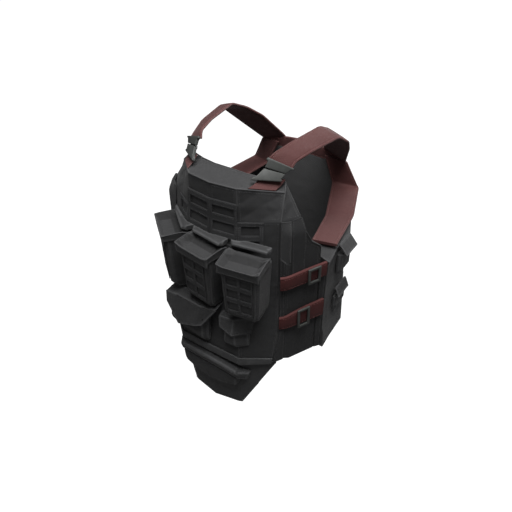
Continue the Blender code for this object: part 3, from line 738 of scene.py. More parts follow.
@dataclass
class Workshop:
    """Makes pieces of every kind, and keeps those that wait for the shared simulation.

    Turns are in degrees between two faces, and steps, reaches and radii in metres.
    """

    materials: dict[str, bpy.types.Material] = field(default_factory=dict)
    pads: dict[str, Pad] = field(default_factory=dict)
    # Stuffing.
    frames: int = 14
    clearance: float = 0.0004
    least_room: float = 0.00002
    seam_turn: float = 14.0
    seam_step: float = 0.002
    held_swell: float = 0.1
    broad_pace: float = 60.0
    broad_share: float = 0.7
    fold_pace: float = 170.0
    fold_reach: float = 0.011
    fold_share: float = 2.2
    # Rounded edges, edge wear with a painted highlight, and piping.
    rim_turn: float = 35.0
    rim_step: float = 0.0012
    rim_reach: float = 0.0026
    round_turn: float = 18.0
    round_faces: int = 3
    rubbed_and_lit_turn: float = 30.0
    sharp_turn: float = 40.0
    piping_turn: float = 75.0
    piping_sunk: float = 0.6
    piping_rub_and_highlight: float = 0.5
    webbing_turn: float = 12.0
    webbing_faces: FaceTest = facing(FRONT, 0.3)
    # Thread.
    thread_radius: float = 0.00042
    thread_length: float = 0.0030
    thread_step: float = 0.0046
    thread_taper: float = 0.55
    thread_lift: float = 0.0001
    stitch_reach: float = 0.005
    stitch_clear: float = 0.82

    def __post_init__(self) -> None:
        """Builds the node groups and all finishes."""
        effects = {"weave": weave_effect(), "mottle": mottle_effect(), "rub_and_highlight": rub_and_highlight_effect()}
        for finish in FINISHES:
            self.materials[finish.name] = finish.material(effects)

    def add(self, name: str, mesh: bpy.types.Mesh, finish: Finish,
            replaces: Sequence[str] = ()) -> bpy.types.Object:
        """Puts a mesh in the scene as a piece that rides on the carrier.

        Args:
            name: the piece's name.
            mesh: its mesh.
            finish: its finish.
            replaces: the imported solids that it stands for.

        Returns:
            The piece.
        """
        piece = put_in_scene(name, mesh)
        self.cover(mesh, finish)
        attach(piece, BODY)
        if replaces:
            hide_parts(*replaces)
        LOG.info("made %s in %s", name, finish.name)
        return piece

    def cover(self, mesh: bpy.types.Mesh, finish: Finish) -> None:
        """Gives all of a mesh one finish."""
        mesh.materials.clear()
        mesh.materials.append(self.materials[finish.name])

    def mark_rim(self, mesh: bpy.types.Mesh, tree: kdtree.KDTree) -> None:
        """Stores how near each point is to an edge, for the edge wear and painted highlight.

        Args:
            mesh: the finished mesh.
            tree: points along the edges.
        """
        near = distances(coordinates(mesh), tree)
        mark(mesh, "rim", np.exp(-((near / self.rim_reach) ** 2)).astype(np.float32))

    def stuff(self, node: str, finish: Finish, padding: Padding) -> None:
        """Remeshes a solid, and lets it wait for the shared simulation.

        Args:
            node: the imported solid.
            finish: the cloth.
            padding: how it is stuffed.
        """
        build = solid(node)
        lines = seams(build, self.seam_turn)
        mesh = bpy.data.meshes.new(node + "_cloth")
        build.to_mesh(mesh)
        build.free()
        piece = self.add(node + "_cloth", mesh, finish, (node,))
        self._remesh(piece, padding)
        self.cover(piece.data, finish)
        points = coordinates(piece.data)
        others = surfaces(node)
        gaps = [others.find_nearest(Vector(map(float, point)))[3] for point in points]
        room = np.maximum(np.array(gaps, np.float32) - self.clearance, self.least_room)
        tree = samples(lines, self.seam_step)
        rim = samples([line for line in lines if line.angle > self.rim_turn], self.rim_step)
        reach = distances(points, tree)
        folds = gathers(points, lines, tree, self.fold_pace)
        self.pads[node] = Pad(piece, padding, reach, room, folds, rim, lines)

    @staticmethod
    def _remesh(piece: bpy.types.Object, padding: Padding) -> None:
        """Gives a piece an even mesh that lies just inside its own form.

        Args:
            piece: the piece.
            padding: how it is stuffed.
        """
        target = put_in_scene(piece.name + "_form", piece.data.copy())
        remesh = piece.modifiers.new("remesh", "REMESH")
        remesh.mode = "VOXEL"
        remesh.voxel_size = padding.voxel
        fit = piece.modifiers.new("fit", "SHRINKWRAP")
        fit.target = target
        smooth = piece.modifiers.new("smooth", "SMOOTH")
        smooth.iterations = padding.smooth
        smooth.factor = 0.5
        inset = piece.modifiers.new("inset", "DISPLACE")
        inset.strength = -padding.inset
        inset.mid_level = 0.0
        fresh = evaluated(piece)
        piece.modifiers.clear()
        piece.data = fresh
        bpy.data.objects.remove(target)

    def inflate(self) -> None:
        """Blows up every waiting piece in one cloth simulation, then sets and finishes them."""
        scene = bpy.context.scene
        scene.frame_start, scene.frame_end = 1, self.frames
        before = {node: coordinates(pad.piece.data) for node, pad in self.pads.items()}
        for pad in self.pads.values():
            self._add_cloth(pad)
        for step in range(1, self.frames + 1):
            scene.frame_set(step)
        for node, pad in self.pads.items():
            mesh = pad.piece.data
            move(mesh, self._swollen(pad, before[node]))
            smooth_faces(mesh)
            self.mark_rim(mesh, pad.rim)
            LOG.info("stuffed %s: %d faces", pad.piece.name, len(mesh.polygons))
        scene.frame_set(1)

    def _swollen(self, pad: Pad, rest: np.ndarray) -> np.ndarray:
        """Where a pad's points go: pushed out as far as they may, and puckered.

        Args:
            pad: the pad, simulated.
            rest: its points before the simulation.

        Returns:
            Its points as finished.
        """
        normals = point_normals(pad.piece.data)
        free = 1.0 - pad.held
        fresh = evaluated(pad.piece)
        moved = coordinates(fresh) - rest
        bpy.data.meshes.remove(fresh)
        pad.piece.modifiers.clear()
        length = np.linalg.norm(moved, axis=1)
        limit = np.minimum(pad.padding.cap * (self.held_swell + (1.0 - self.held_swell) * free), pad.room)
        moved *= (limit * np.tanh(length / limit) / np.maximum(length, 1e-9))[:, None]
        broad = [noise.noise(Vector(map(float, point)) * self.broad_pace) for point in rest]
        near_seam = np.exp(-((pad.reach / self.fold_reach) ** 2)) * free
        relief = self.broad_share * np.array(broad, np.float32) * free
        relief = pad.padding.pucker * (relief + self.fold_share * pad.folds * near_seam)
        relief = np.minimum(relief, pad.room)
        return rest + moved + normals * relief[:, None]

    @staticmethod
    def shade(piece: bpy.types.Object, depth: Callable[[np.ndarray], np.ndarray]) -> None:
        """Paints shade into a finished piece's colour, darker where its normals say.

        Args:
            piece: the piece.
            depth: gives from the points' normals how much painted shade each point gets, from 0 to 1.
        """
        mark(piece.data, "shade", depth(point_normals(piece.data)).astype(np.float32))

    def line(self, node: str, inner: FaceTest) -> None:
        """Gives the faces of a bag that lie against the wearer their lining, whose lighter colour is painted
        light.

        Args:
            node: the bag's solid.
            inner: says by its normal whether a face is lined.
        """
        mesh = self.pads[node].piece.data
        mesh.materials.append(self.materials[LIT_LINING.name])
        mesh.polygons.foreach_set("material_index", [int(inner(face.normal)) for face in mesh.polygons])
        mesh.update()

    def _add_cloth(self, pad: Pad) -> None:
        """Adds the cloth modifier that holds a piece at its seams.

        Args:
            pad: the waiting piece.
        """
        held = pad.piece.vertex_groups.new(name="seam")
        levels: dict[float, list[int]] = {}
        for index, weight in enumerate(pad.held):
            level = round(float(weight), 1)
            if level > 0.0:
                levels.setdefault(level, []).append(index)
        for level, members in levels.items():
            held.add(members, level, "REPLACE")
        cloth = pad.piece.modifiers.new("stuffing", "CLOTH")
        cloth.settings.quality = 4
        cloth.settings.mass = 0.25
        cloth.settings.tension_stiffness = 12.0
        cloth.settings.compression_stiffness = 12.0
        cloth.settings.bending_stiffness = 0.4
        cloth.settings.vertex_group_mass = held.name
        cloth.settings.pin_stiffness = 1.0
        cloth.settings.use_pressure = True
        cloth.settings.uniform_pressure_force = pad.padding.pressure
        cloth.settings.effector_weights.gravity = 0.0
        cloth.collision_settings.use_collision = False
        cloth.collision_settings.use_self_collision = False
        cloth.point_cache.frame_start = 1
        cloth.point_cache.frame_end = self.frames

    def round_off(self, node: str, finish: Finish, radius: float) -> bpy.types.Object:
        """A solid with its edges rounded.

        Args:
            node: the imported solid.
            finish: its finish.
            radius: the width of the rounding.

        Returns:
            The piece.
        """
        build = solid(node)
        lines = seams(build, self.round_turn)
        turned = [edge for edge in build.edges if len(edge.link_faces) == 2
                  and abs(math.degrees(edge.calc_face_angle_signed())) > self.round_turn]
        bmesh.ops.bevel(build, geom=turned, offset=radius, offset_type="OFFSET", segments=self.round_faces,
                        profile=0.5, affect="EDGES", clamp_overlap=True)
        bmesh.ops.triangulate(build, faces=[face for face in build.faces if len(face.verts) > 4])
        mesh = bpy.data.meshes.new(node + "_piece")
        build.to_mesh(mesh)
        build.free()
        smooth_faces(mesh)
        mesh.set_sharp_from_angle(angle=math.radians(self.sharp_turn))
        piece = self.add(node + "_piece", mesh, finish, (node,))
        self.mark_rim(mesh, samples([line for line in lines if line.angle > self.rubbed_and_lit_turn], self.rim_step))
        return piece

    def pipe(self, name: str, lines: Sequence[Seam], radius: float, finish: Finish = BINDING) -> None:
        """Lays piping along seams, sunk a little into their edge.

        Args:
            name: the piece's name.
            lines: the seams it follows.
            radius: its radius.
            finish: its finish.
        """
        inside: dict[tuple[int, ...], Vector] = {}
        for seam in lines:
            for point in (seam.start, seam.end):
                key = corner_key(point)
                inside[key] = inside.get(key, Vector()) - seam.normals[0] - seam.normals[1]
        curve = bpy.data.curves.new(name, "CURVE")
        curve.dimensions = "3D"
        curve.bevel_depth = radius
        curve.bevel_resolution = 2
        curve.use_fill_caps = True
        for path in chains(lines, self.piping_turn):
            spline = curve.splines.new("POLY")
            spline.points.add(len(path) - 1)
            for place, point in zip(spline.points, path):
                sink = inside[corner_key(point)].normalized() * radius * self.piping_sunk
                place.co = (*(point + sink), 1.0)
        holder = put_in_scene(name, curve)
        mesh = evaluated(holder)
        bpy.data.objects.remove(holder)
        smooth_faces(mesh)
        # All of the piping gets a rim mark of one half, which lightens it as wear and painted highlight.
        mark(mesh, "rim", [self.piping_rub_and_highlight] * len(mesh.vertices))
        self.add(name, mesh, finish)

    def sew(self, name: str, finish: Finish, stitches: Sequence[Stitch]) -> None:
        """Makes thread that stands out of the cloth, each stitch a spindle with four sides.

        Args:
            name: the piece's name.
            finish: the thread.
            stitches: centre, direction and surface normal of each.
        """
        if not stitches:
            return
        half = 0.5 * self.thread_length
        vertices: list[Vector] = []
        faces: list[tuple[int, ...]] = []
        for centre, along, up in stitches:
            across = up.cross(along).normalized() * self.thread_radius
            rise = up.normalized() * self.thread_radius
            base = len(vertices)
            vertices.append(centre - along * half - rise)
            for place in (-self.thread_taper, self.thread_taper):
                for side, lift in ((1.0, 0.0), (0.0, 1.0), (-1.0, 0.0), (0.0, -1.0)):
                    vertices.append(centre + along * half * place + across * side + rise * lift)
            vertices.append(centre + along * half - rise)
            for index in range(4):
                after = (index + 1) % 4
                faces.append((base, base + 1 + after, base + 1 + index))
                faces.append((base + 1 + index, base + 1 + after, base + 5 + after, base + 5 + index))
                faces.append((base + 5 + index, base + 5 + after, base + 9))
        mesh = bpy.data.meshes.new(name)
        mesh.from_pydata(vertices, [], faces)
        smooth_faces(mesh)
        mesh.update()
        self.add(name, mesh, finish)

    def seam_stitches(self, piece: bpy.types.Object, lines: Sequence[Seam], inset: float,
                      keep: FaceTest = anywhere, least: float = 24.0) -> list[Stitch]:
        """Places stitches beside the seams of a finished piece.

        Args:
            piece: the finished piece.
            lines: its solid's seams.
            inset: how far in from a seam they run.
            keep: a test that a face has to pass to be sewn.
            least: the least turn of a seam that is sewn, in degrees.

        Returns:
            Centre, direction and normal of each stitch.
        """
        tree = samples(lines, self.seam_step)
        surface = BVHTree.FromObject(piece, bpy.context.evaluated_depsgraph_get())
        placed = []
        for seam in lines:
            if seam.angle < least:
                continue
            for normal, inward in zip(seam.normals, seam.inward):
                if not keep(normal):
                    continue
                for index in range(int(seam.length / self.thread_step)):
                    point = seam.start + seam.along * self.thread_step * (index + 0.5) + inward * inset
                    if tree.find(point)[2] < self.stitch_clear * inset:
                        continue
                    place, outward, _, gap = surface.find_nearest(point)
                    if place is not None and gap < self.stitch_reach and outward.dot(normal) > 0.5:
                        placed.append((place + outward * self.thread_lift, seam.along, outward))
        return placed

    def pad_stitches(self, node: str, inset: float, keep: FaceTest = anywhere,
                     least: float = 24.0) -> list[Stitch]:
        """Places stitches beside the seams of a pad; see seam_stitches.

        Args:
            node: the pad's solid.
            inset: how far in from a seam they run.
            keep: a test that a face has to pass to be sewn.
            least: the least turn of a seam that is sewn, in degrees.

        Returns:
            Centre, direction and normal of each stitch.
        """
        return self.seam_stitches(self.pads[node].piece, self.pads[node].lines, inset, keep, least)

    def webbing_stitches(self, piece: bpy.types.Object, node: str, inset: float) -> list[Stitch]:
        """Places stitches on the front of a piece of webbing.

        Args:
            piece: the finished webbing.
            node: its solid.
            inset: how far in from an edge they run.

        Returns:
            Centre, direction and normal of each stitch.
        """
        build = solid(node)
        lines = seams(build, self.webbing_turn)
        build.free()
        return self.seam_stitches(piece, lines, inset, self.webbing_faces)

    def box_stitches(self, piece: bpy.types.Object, corners: Sequence[Vector]) -> list[Stitch]:
        """Places stitches on a piece's back, round a four-cornered box and across it.

        Args:
            piece: the finished piece.
            corners: the box's corners in turn, close to the piece's surface.

        Returns:
            Centre, direction and normal of each stitch.
        """
        surface = BVHTree.FromObject(piece, bpy.context.evaluated_depsgraph_get())
        placed = []
        for first, second in ((0, 1), (1, 2), (2, 3), (3, 0), (0, 2), (1, 3)):
            start, end = corners[first], corners[second]
            along = (end - start).normalized()
            for index in range(int((end - start).length / self.thread_step)):
                place, outward, _, _ = surface.find_nearest(start + along * self.thread_step * (index + 0.5))
                if outward.dot(BACK) > 0.0:
                    placed.append((place + outward * 2.0 * self.thread_lift, along, outward))
        return placed


Pair = tuple[Point, Point]
Row = tuple[Vector, Vector, Vector]


@dataclass(frozen=True)
class Strap:
    """A flat padded strap between two edges, with a sewn channel beside each.

    The edges are rows of places. The middle says how far the strap lies out from them, the crown how much
    it swells, and channel and groove where the channels are and how deep. Each bend is rounded over a
    stretch before and after it.
    """

    name: str
    node: str
    first: tuple[Point, ...]
    second: tuple[Point, ...]
    thickness: float
    middle: float
    crown: float = 0.0006
    channel: float = 0.0045
    groove: float = 0.0006
    bend: float = 0.009

    # Rows lie a step apart; places across are given by turns round the edge and shares of the flat.
    STEP: ClassVar[float] = 0.004
    BEND_SHARES: ClassVar[tuple[float, ...]] = (-0.8, -0.4, 0.0, 0.4, 0.8)
    EDGE_TURNS: ClassVar[tuple[float, ...]] = (0, 30, 60, 90)
    FLAT_SHARES: ClassVar[tuple[float, ...]] = (0.04, 0.3, 0.65, 1.0)
    CHANNEL_SIDES: ClassVar[tuple[float, ...]] = (-0.0011, 0.0, 0.0011)
    CHANNEL_HALF: ClassVar[float] = 0.0010
    RIPPLE: ClassVar[float] = 0.00022
    RIPPLE_PACE: ClassVar[tuple[float, float]] = (60.0, 0.33)
    RIM_COLUMNS: ClassVar[float] = 1.6
    SHARP_TURN: ClassVar[float] = 50.0
    THREAD_LIFT: ClassVar[float] = 0.0002

    @classmethod
    def under(cls, name: str, node: str, first: Sequence[Point], second: Sequence[Point], thickness: float,
              depth: float = 0.5, **shape: float) -> "Strap":
        """A strap that lies under its two edges.

        Args:
            name: its name.
            node: the solid that it stands for, or nothing.
            first: the first edge.
            second: the second edge.
            thickness: its thickness.
            depth: how deep its middle lies under the edges, in thicknesses.
            shape: its crown, channel, groove or bend.

        Returns:
            The strap.
        """
        return cls(name, node, tuple(first), tuple(second), thickness, -depth * thickness, **shape)

    def rails(self) -> list[Row]:
        """Both edges and the outward normal at even steps, with rounded bends.

        Returns:
            A point on each edge and the normal, for each row.
        """
        pairs = [(worn(near), worn(far)) for near, far in zip(self.first, self.second)]
        marks = [0.0]
        for before, after in zip(pairs, pairs[1:]):
            marks.append(marks[-1] + 0.5 * ((after[0] - before[0]).length + (after[1] - before[1]).length))
        count = max(2, round(marks[-1] / self.STEP))
        rows = []
        for index in range(count + 1):
            place = marks[-1] * index / count
            reach = min(self.bend, place, marks[-1] - place)
            around = [self._between(pairs, marks, place + reach * share) for share in self.BEND_SHARES]
            rows.append(tuple(sum(edge, Vector()) / len(around) for edge in zip(*around)))
        framed = []
        for index, (near, far) in enumerate(rows):
            before = rows[max(index - 1, 0)]
            after = rows[min(index + 1, len(rows) - 1)]
            way = (after[0] + after[1]) - (before[0] + before[1])
            framed.append((near, far, (far - near).cross(way).normalized()))
        return framed

    @staticmethod
    def _between(pairs: Sequence[tuple[Vector, Vector]], marks: Sequence[float],
                 place: float) -> tuple[Vector, Vector]:
        """Both edges at a distance along the strap.

        Args:
            pairs: the corners of both edges.
            marks: how far along each corner is.
            place: the distance.

        Returns:
            A point on each edge.
        """
        index = 0
        while index < len(marks) - 2 and marks[index + 1] < place:
            index += 1
        share = (place - marks[index]) / (marks[index + 1] - marks[index])
        return tuple(pairs[index][edge].lerp(pairs[index + 1][edge], share) for edge in (0, 1))

    def _centre(self, row: Row) -> Vector:
        """The strap's middle at a row."""
        return (row[0] + row[1]) * 0.5 + row[2] * self.middle

    def _places(self, half: float) -> list[float]:
        """Places across the strap, close together round its edges and in its channels.

        Args:
            half: half the width.

        Returns:
            The places from edge to edge, measured from the middle.
        """
        radius = 0.5 * self.thickness
        places = [-half + radius * (1.0 - math.cos(math.radians(turn))) for turn in self.EDGE_TURNS]
        places += [-half + radius + share * (half - radius) for share in self.FLAT_SHARES]
        places += [-place for place in places[-2::-1]]
        channel = [-half + self.channel + side for side in self.CHANNEL_SIDES]
        return sorted(places + channel + [-place for place in channel])

    def _height(self, place: float, half: float, number: int) -> tuple[float, float]:
        """How far the cloth stands above and below the strap's middle.

        Args:
            place: the place across.
            half: half the width.
            number: the row's number, for the cloth's unevenness.

        Returns:
            The rise outside and inside.
        """
        radius = 0.5 * self.thickness
        short = max(radius - (half - abs(place)), 0.0)
        edge = math.sqrt(max(radius * radius - short * short, 0.0))
        hollow = self.groove * math.exp(-(((half - abs(place) - self.channel) / self.CHANNEL_HALF) ** 2))
        swell = self.crown * (1.0 - (place / half) ** 2)
        across, along = self.RIPPLE_PACE
        ripple = self.RIPPLE * noise.noise(Vector((place * across, number * along, 3.0)))
        return edge + swell - hollow + ripple, edge - hollow - ripple

    def _rings(self, rows: Sequence[Row]) -> list[Vector]:
        """The strap's points, ring after ring.

        Args:
            rows: the strap's rows.

        Returns:
            For each row, the outside from edge to edge and then the inside back.
        """
        points = []
        for number, row in enumerate(rows):
            near, far, up = row
            centre = self._centre(row)
            half = 0.5 * (far - near).length
            across = (far - near).normalized()
            places = self._places(half)
            heights = [self._height(place, half, number) for place in places]
            for place, rise in zip(places, heights):
                points.append(centre + across * place + up * rise[0])
            for place, rise in zip(places[-2:0:-1], heights[-2:0:-1]):
                points.append(centre + across * place - up * rise[1])
        return points

    def _stitches(self, rows: Sequence[Row], pace: float) -> list[Stitch]:
        """Stitches in both channels, outside and inside.

        Args:
            rows: the strap's rows.
            pace: the distance between stitches.

        Returns:
            Centre, direction and normal of each stitch.
        """
        stitches = []
        travelled = 0.0
        for number in range(1, len(rows) - 1):
            near, far, up = rows[number]
            centre = self._centre(rows[number])
            step = centre - self._centre(rows[number - 1])
            travelled += step.length
            if travelled < pace:
                continue
            travelled -= pace
            half = 0.5 * (far - near).length
            across = (far - near).normalized()
            along = step.normalized()
            for place in (-half + self.channel, half - self.channel):
                outside, inside = self._height(place, half, number)
                stitches.append((centre + across * place + up * (outside + self.THREAD_LIFT), along, up))
                stitches.append((centre + across * place - up * (inside + self.THREAD_LIFT), along, -up))
        return stitches

    def _mesh(self, points: Sequence[Vector], rows: int) -> bpy.types.Mesh:
        """Joins rings of points into a closed strap whose edges are marked for wear and a painted highlight.

        Args:
            points: the strap's points.
            rows: how many rings they make.

        Returns:
            The mesh.
        """
        columns = len(points) // rows
        faces = []
        for row in range(rows - 1):
            for column in range(columns):
                after = (column + 1) % columns
                faces.append((row * columns + column, row * columns + after,
                              (row + 1) * columns + after, (row + 1) * columns + column))
        faces.append(tuple(range(columns - 1, -1, -1)))
        faces.append(tuple((rows - 1) * columns + column for column in range(columns)))
        mesh = bpy.data.meshes.new(self.name)
        mesh.from_pydata(points, [], faces)
        mesh.update()
        build = bmesh.new()
        build.from_mesh(mesh)
        bmesh.ops.recalc_face_normals(build, faces=build.faces)
        build.to_mesh(mesh)
        build.free()
        smooth_faces(mesh)
        mesh.set_sharp_from_angle(angle=math.radians(self.SHARP_TURN))
        far_edge = (columns + 2) // 2 - 1
        rim = []
        for index in range(len(mesh.vertices)):
            column = index % columns
            nearest = min(column, abs(column - far_edge), columns - column)
            rim.append(math.exp(-((nearest / self.RIM_COLUMNS) ** 2)))
        mark(mesh, "rim", rim)
        return mesh

    def build(self, shop: Workshop, finish: Finish, thread: Finish, sign: float = 1.0) -> bpy.types.Object:
        """Makes the strap and the thread in its channels.

        Args:
            shop: the workshop.
            finish: the strap's finish.
            thread: the thread's finish.
            sign: minus one for the wearer's right.

        Returns:
            The strap.
        """
        rows = self.rails()
        points = [mirrored(point, sign) for point in self._rings(rows)]
        stitches = [tuple(mirrored(part, sign) for part in stitch)
                    for stitch in self._stitches(rows, shop.thread_step)]
        mesh = self._mesh(points, len(rows))
        piece = shop.add(self.name, mesh, finish, (self.node,) if self.node else ())
        shop.sew(self.name + "_stitching", thread, stitches)
        return piece


# Sub-assemblies ------------------------------------------------------------------------------


class SubAssembly(ABC):
    """A part of the carrier that makes its own pieces in the workshop."""

    @abstractmethod
    def build(self, shop: Workshop) -> None:
        """Makes the pieces.

        Args:
            shop: the workshop.
        """

    @abstractmethod
    def dress(self, shop: Workshop) -> None:
        """Adds piping, binding and thread once the pads are blown up.

        Args:
            shop: the workshop.
        """


@dataclass
class FrontBag(SubAssembly):
    """The front plate bag with its hem and chest webbing."""

    padding: Padding = Padding(voxel=0.0032, cap=0.0026, pressure=2.4, held=0.009, pucker=0.0008)
    piping: float = 0.0016
    piped_turn: float = 32.0
    stitch_inset: float = 0.0055
    sewn_turn: float = 10.0
    sewn_faces: FaceTest = facing(FRONT, -0.35)
    hem_round: float = 0.001
    hem_inset: float = 0.003
    webbing_round: float = 0.0007
    webbing_inset: float = 0.0022
    bar_thickness: float = 0.0020
    bar_low: tuple[Point, ...] = (
        (0.0585, -0.1645, 0.4955), (0.0645, -0.1608, 0.4955), (0.0932, -0.1430, 0.4955),
        (0.1000, -0.1388, 0.4955))
    bar_high: tuple[Point, ...] = (
        (0.0583, -0.1636, 0.5045), (0.0643, -0.1599, 0.5045), (0.0930, -0.1421, 0.5045),
        (0.0998, -0.1379, 0.5045))
    hem: bpy.types.Object = field(init=False)
    webbing: bpy.types.Object = field(init=False)

    def build(self, shop: Workshop) -> None:
        """Makes the bag, its hem and its webbing, with the bar over each outermost window.

        Args:
            shop: the workshop.
        """
        shop.stuff("front_panel", CANVAS, self.padding)
        self.hem = shop.round_off("hem_band", CANVAS, self.hem_round)
        self.webbing = shop.round_off("chest_webbing", WEBBING, self.webbing_round)
        for side in Side:
            bar = Strap.under("chest_bar_" + side.label, "", self.bar_high, self.bar_low, self.bar_thickness,
                              depth=0.4, crown=0.0, channel=0.0022, groove=0.0, bend=0.003)
            bar.build(shop, WEBBING, THREAD, side.sign)

    def dress(self, shop: Workshop) -> None:
        """Adds piping along the bag's outer edges, and thread.

        Args:
            shop: the workshop.
        """
        edges = shop.pads["front_panel"].edges(self.piped_turn, self._outside)
        shop.pipe("front_bag_piping", edges, self.piping)
        stitches = shop.pad_stitches("front_panel", self.stitch_inset, self.sewn_faces, self.sewn_turn)
        shop.sew("front_bag_stitching", THREAD, stitches)
        for piece, node, inset in ((self.webbing, "chest_webbing", self.webbing_inset),
                                   (self.hem, "hem_band", self.hem_inset)):
            shop.sew(piece.name + "_stitching", THREAD, shop.webbing_stitches(piece, node, inset))

    @staticmethod
    def _outside(normal: Vector) -> bool:
        """Whether a face is on the bag's front or top, and not on its lining."""
        return normal.y < -0.3 or normal.z > 0.8


@dataclass
class MagazinePouch(SubAssembly):
    """A magazine pouch: body, webbing, dished flap and the roll above it."""

    name: str
    body: Padding = Padding(voxel=0.0021, cap=0.0018, pressure=3.0, held=0.006, pucker=0.0004, inset=0.0001)
    lid: Padding = Padding(voxel=0.0012, cap=0.0004, pressure=2.0, held=0.003, pucker=0.0002, inset=0.0001,
                           fill=0.4, smooth=1)
    roll: Padding = Padding(voxel=0.0014, cap=0.0012, pressure=4.0, held=0.003, pucker=0.0003, fill=0.9)
    webbing_round: float = 0.0007
    webbing_inset: float = 0.0020
    piped_turn: float = 30.0
    piping: float = 0.0011
    piped_faces: FaceTest = facing(FRONT, 0.5)
    lip_piping: float = 0.0010
    lip_faces: FaceTest = facing(UP, 0.2)
    body_inset: float = 0.0045
    body_sewn: FaceTest = facing(FRONT, -0.3)
    lid_inset: float = 0.0032
    lid_sewn: FaceTest = facing(UP, -0.4)
    # Painted shade on the dish: the slope over which it comes in, and how far up a face must look.
    dish_slope: tuple[float, float] = (0.05, 0.22)
    dish_rise: float = 0.6
    webbing: bpy.types.Object = field(init=False)

    def build(self, shop: Workshop) -> None:
        """Makes the pouch's pieces.

        Args:
            shop: the workshop.
        """
        shop.stuff("mag_body_" + self.name, CANVAS, self.body)
        shop.stuff("mag_flap_" + self.name, CANVAS, self.lid)
        shop.stuff("mag_roll_" + self.name, CANVAS, self.roll)
        self.webbing = shop.round_off("mag_webbing_" + self.name, WEBBING, self.webbing_round)

    def dress(self, shop: Workshop) -> None:
        """Adds piping round the flap's lip and the pouch's corners, paints shade into the dish, and adds
        thread.

        Args:
            shop: the workshop.
        """
        body, lid, webbing = ("mag_{}_{}".format(part, self.name) for part in ("body", "flap", "webbing"))
        front = shop.pads[body].edges(self.piped_turn, self.piped_faces)
        shop.pipe("mag_piping_" + self.name, front, self.piping)
        shop.shade(shop.pads[lid].piece, self._dish)
        lip = shop.pads[lid].edges(self.piped_turn, self.lip_faces)
        shop.pipe("mag_flap_piping_" + self.name, lip, self.lip_piping)
        stitches = shop.pad_stitches(body, self.body_inset, self.body_sewn)
        stitches += shop.pad_stitches(lid, self.lid_inset, self.lid_sewn)
        stitches += shop.webbing_stitches(self.webbing, webbing, self.webbing_inset)
        shop.sew("mag_stitching_" + self.name, THREAD, stitches)

    def _dish(self, normals: np.ndarray) -> np.ndarray:
        """How much painted shade the flap's dish gets: its back half, which slopes towards the front.

        Args:
            normals: the normals at the flap's points.

        Returns:
            A value from 0 to 1 for each point.
        """
        least, full = self.dish_slope
        return np.clip((-normals[:, 1] - least) / (full - least), 0.0, 1.0) * (normals[:, 2] > self.dish_rise)


@dataclass
class LowPouch(SubAssembly):
    """A pouch low on the front under a mitred flap."""

    name: str
    finish: Finish
    body: Padding = Padding(voxel=0.0022, cap=0.0022, pressure=3.0, held=0.007, pucker=0.0006, inset=0.0001)
    lid: Padding = Padding(voxel=0.0013, cap=0.0008, pressure=1.5, held=0.004, pucker=0.0005, fill=0.3)
    bound_turn: float = 70.0
    binding: float = 0.0012
    bound_faces: FaceTest = facing(FRONT, 0.2)
    lid_inset: float = 0.004
    lid_sewn: FaceTest = facing(FRONT, -0.2)
    body_inset: float = 0.0045
    body_sewn: FaceTest = facing(FRONT, -0.3)

    def build(self, shop: Workshop) -> None:
        """Makes the pouch and its flap.

        Args:
            shop: the workshop.
        """
        shop.stuff(self.name + "_pouch", self.finish, self.body)
        shop.stuff(self.name + "_flap", self.finish, self.lid)

    def dress(self, shop: Workshop) -> None:
        """Adds binding along the flap's edge, and thread.

        Args:
            shop: the workshop.
        """
        edges = shop.pads[self.name + "_flap"].edges(self.bound_turn, self.bound_faces)
        shop.pipe(self.name + "_flap_binding", edges, self.binding)
        stitches = shop.pad_stitches(self.name + "_flap", self.lid_inset, self.lid_sewn)
        stitches += shop.pad_stitches(self.name + "_pouch", self.body_inset, self.body_sewn)
        shop.sew(self.name + "_stitching", THREAD, stitches)


@dataclass
class LowerFlap(SubAssembly):
    """The flap that hangs under the hem, with its pocket and the roll above it."""

    flap: Padding = Padding(voxel=0.0024, cap=0.0016, pressure=2.0, held=0.008, pucker=0.0007, inset=0.0001)
    pocket: Padding = Padding(voxel=0.0022, cap=0.0022, pressure=3.0, held=0.006, pucker=0.0005, inset=0.0001)
    roll: Padding = Padding(voxel=0.0020, cap=0.0012, pressure=4.0, held=0.004, pucker=0.0004, fill=0.9)
    bound_turn: float = 60.0
    binding: float = 0.0014
    bound_faces: FaceTest = facing(FRONT, 0.5)
    sewn_faces: FaceTest = facing(FRONT, -0.1)
    flap_inset: float = 0.006
    pocket_inset: float = 0.005
    roll_inset: float = 0.004

    def build(self, shop: Workshop) -> None:
        """Makes the flap, pocket and roll.

        Args:
            shop: the workshop.
        """
        shop.stuff("groin_flap", LIT_CANVAS, self.flap)
        shop.stuff("groin_pocket", CANVAS, self.pocket)
        shop.stuff("groin_roll", CANVAS, self.roll)

    def dress(self, shop: Workshop) -> None:
        """Adds binding round the flap's edge, and thread.

        Args:
            shop: the workshop.
        """
        edges = shop.pads["groin_flap"].edges(self.bound_turn, self.bound_faces)
        shop.pipe("groin_binding", edges, self.binding)
        stitches = []
        for node, inset in (("groin_flap", self.flap_inset), ("groin_pocket", self.pocket_inset),
                            ("groin_roll", self.roll_inset)):
            stitches += shop.pad_stitches(node, inset, self.sewn_faces)
        shop.sew("groin_stitching", THREAD, stitches)


@dataclass(frozen=True)
class Lap:
    """A thin padded strip that closes a slot beside a side panel.

    Each rung is a place on its inner rail and one on its outer rail. It is sunk under them by a share of
    its thickness.
    """

    name: str
    finish: Finish
    sunk: float
    # Whether painted shade darkens the lap where it looks up.
    shaded: bool
    rungs: tuple[Pair, ...]


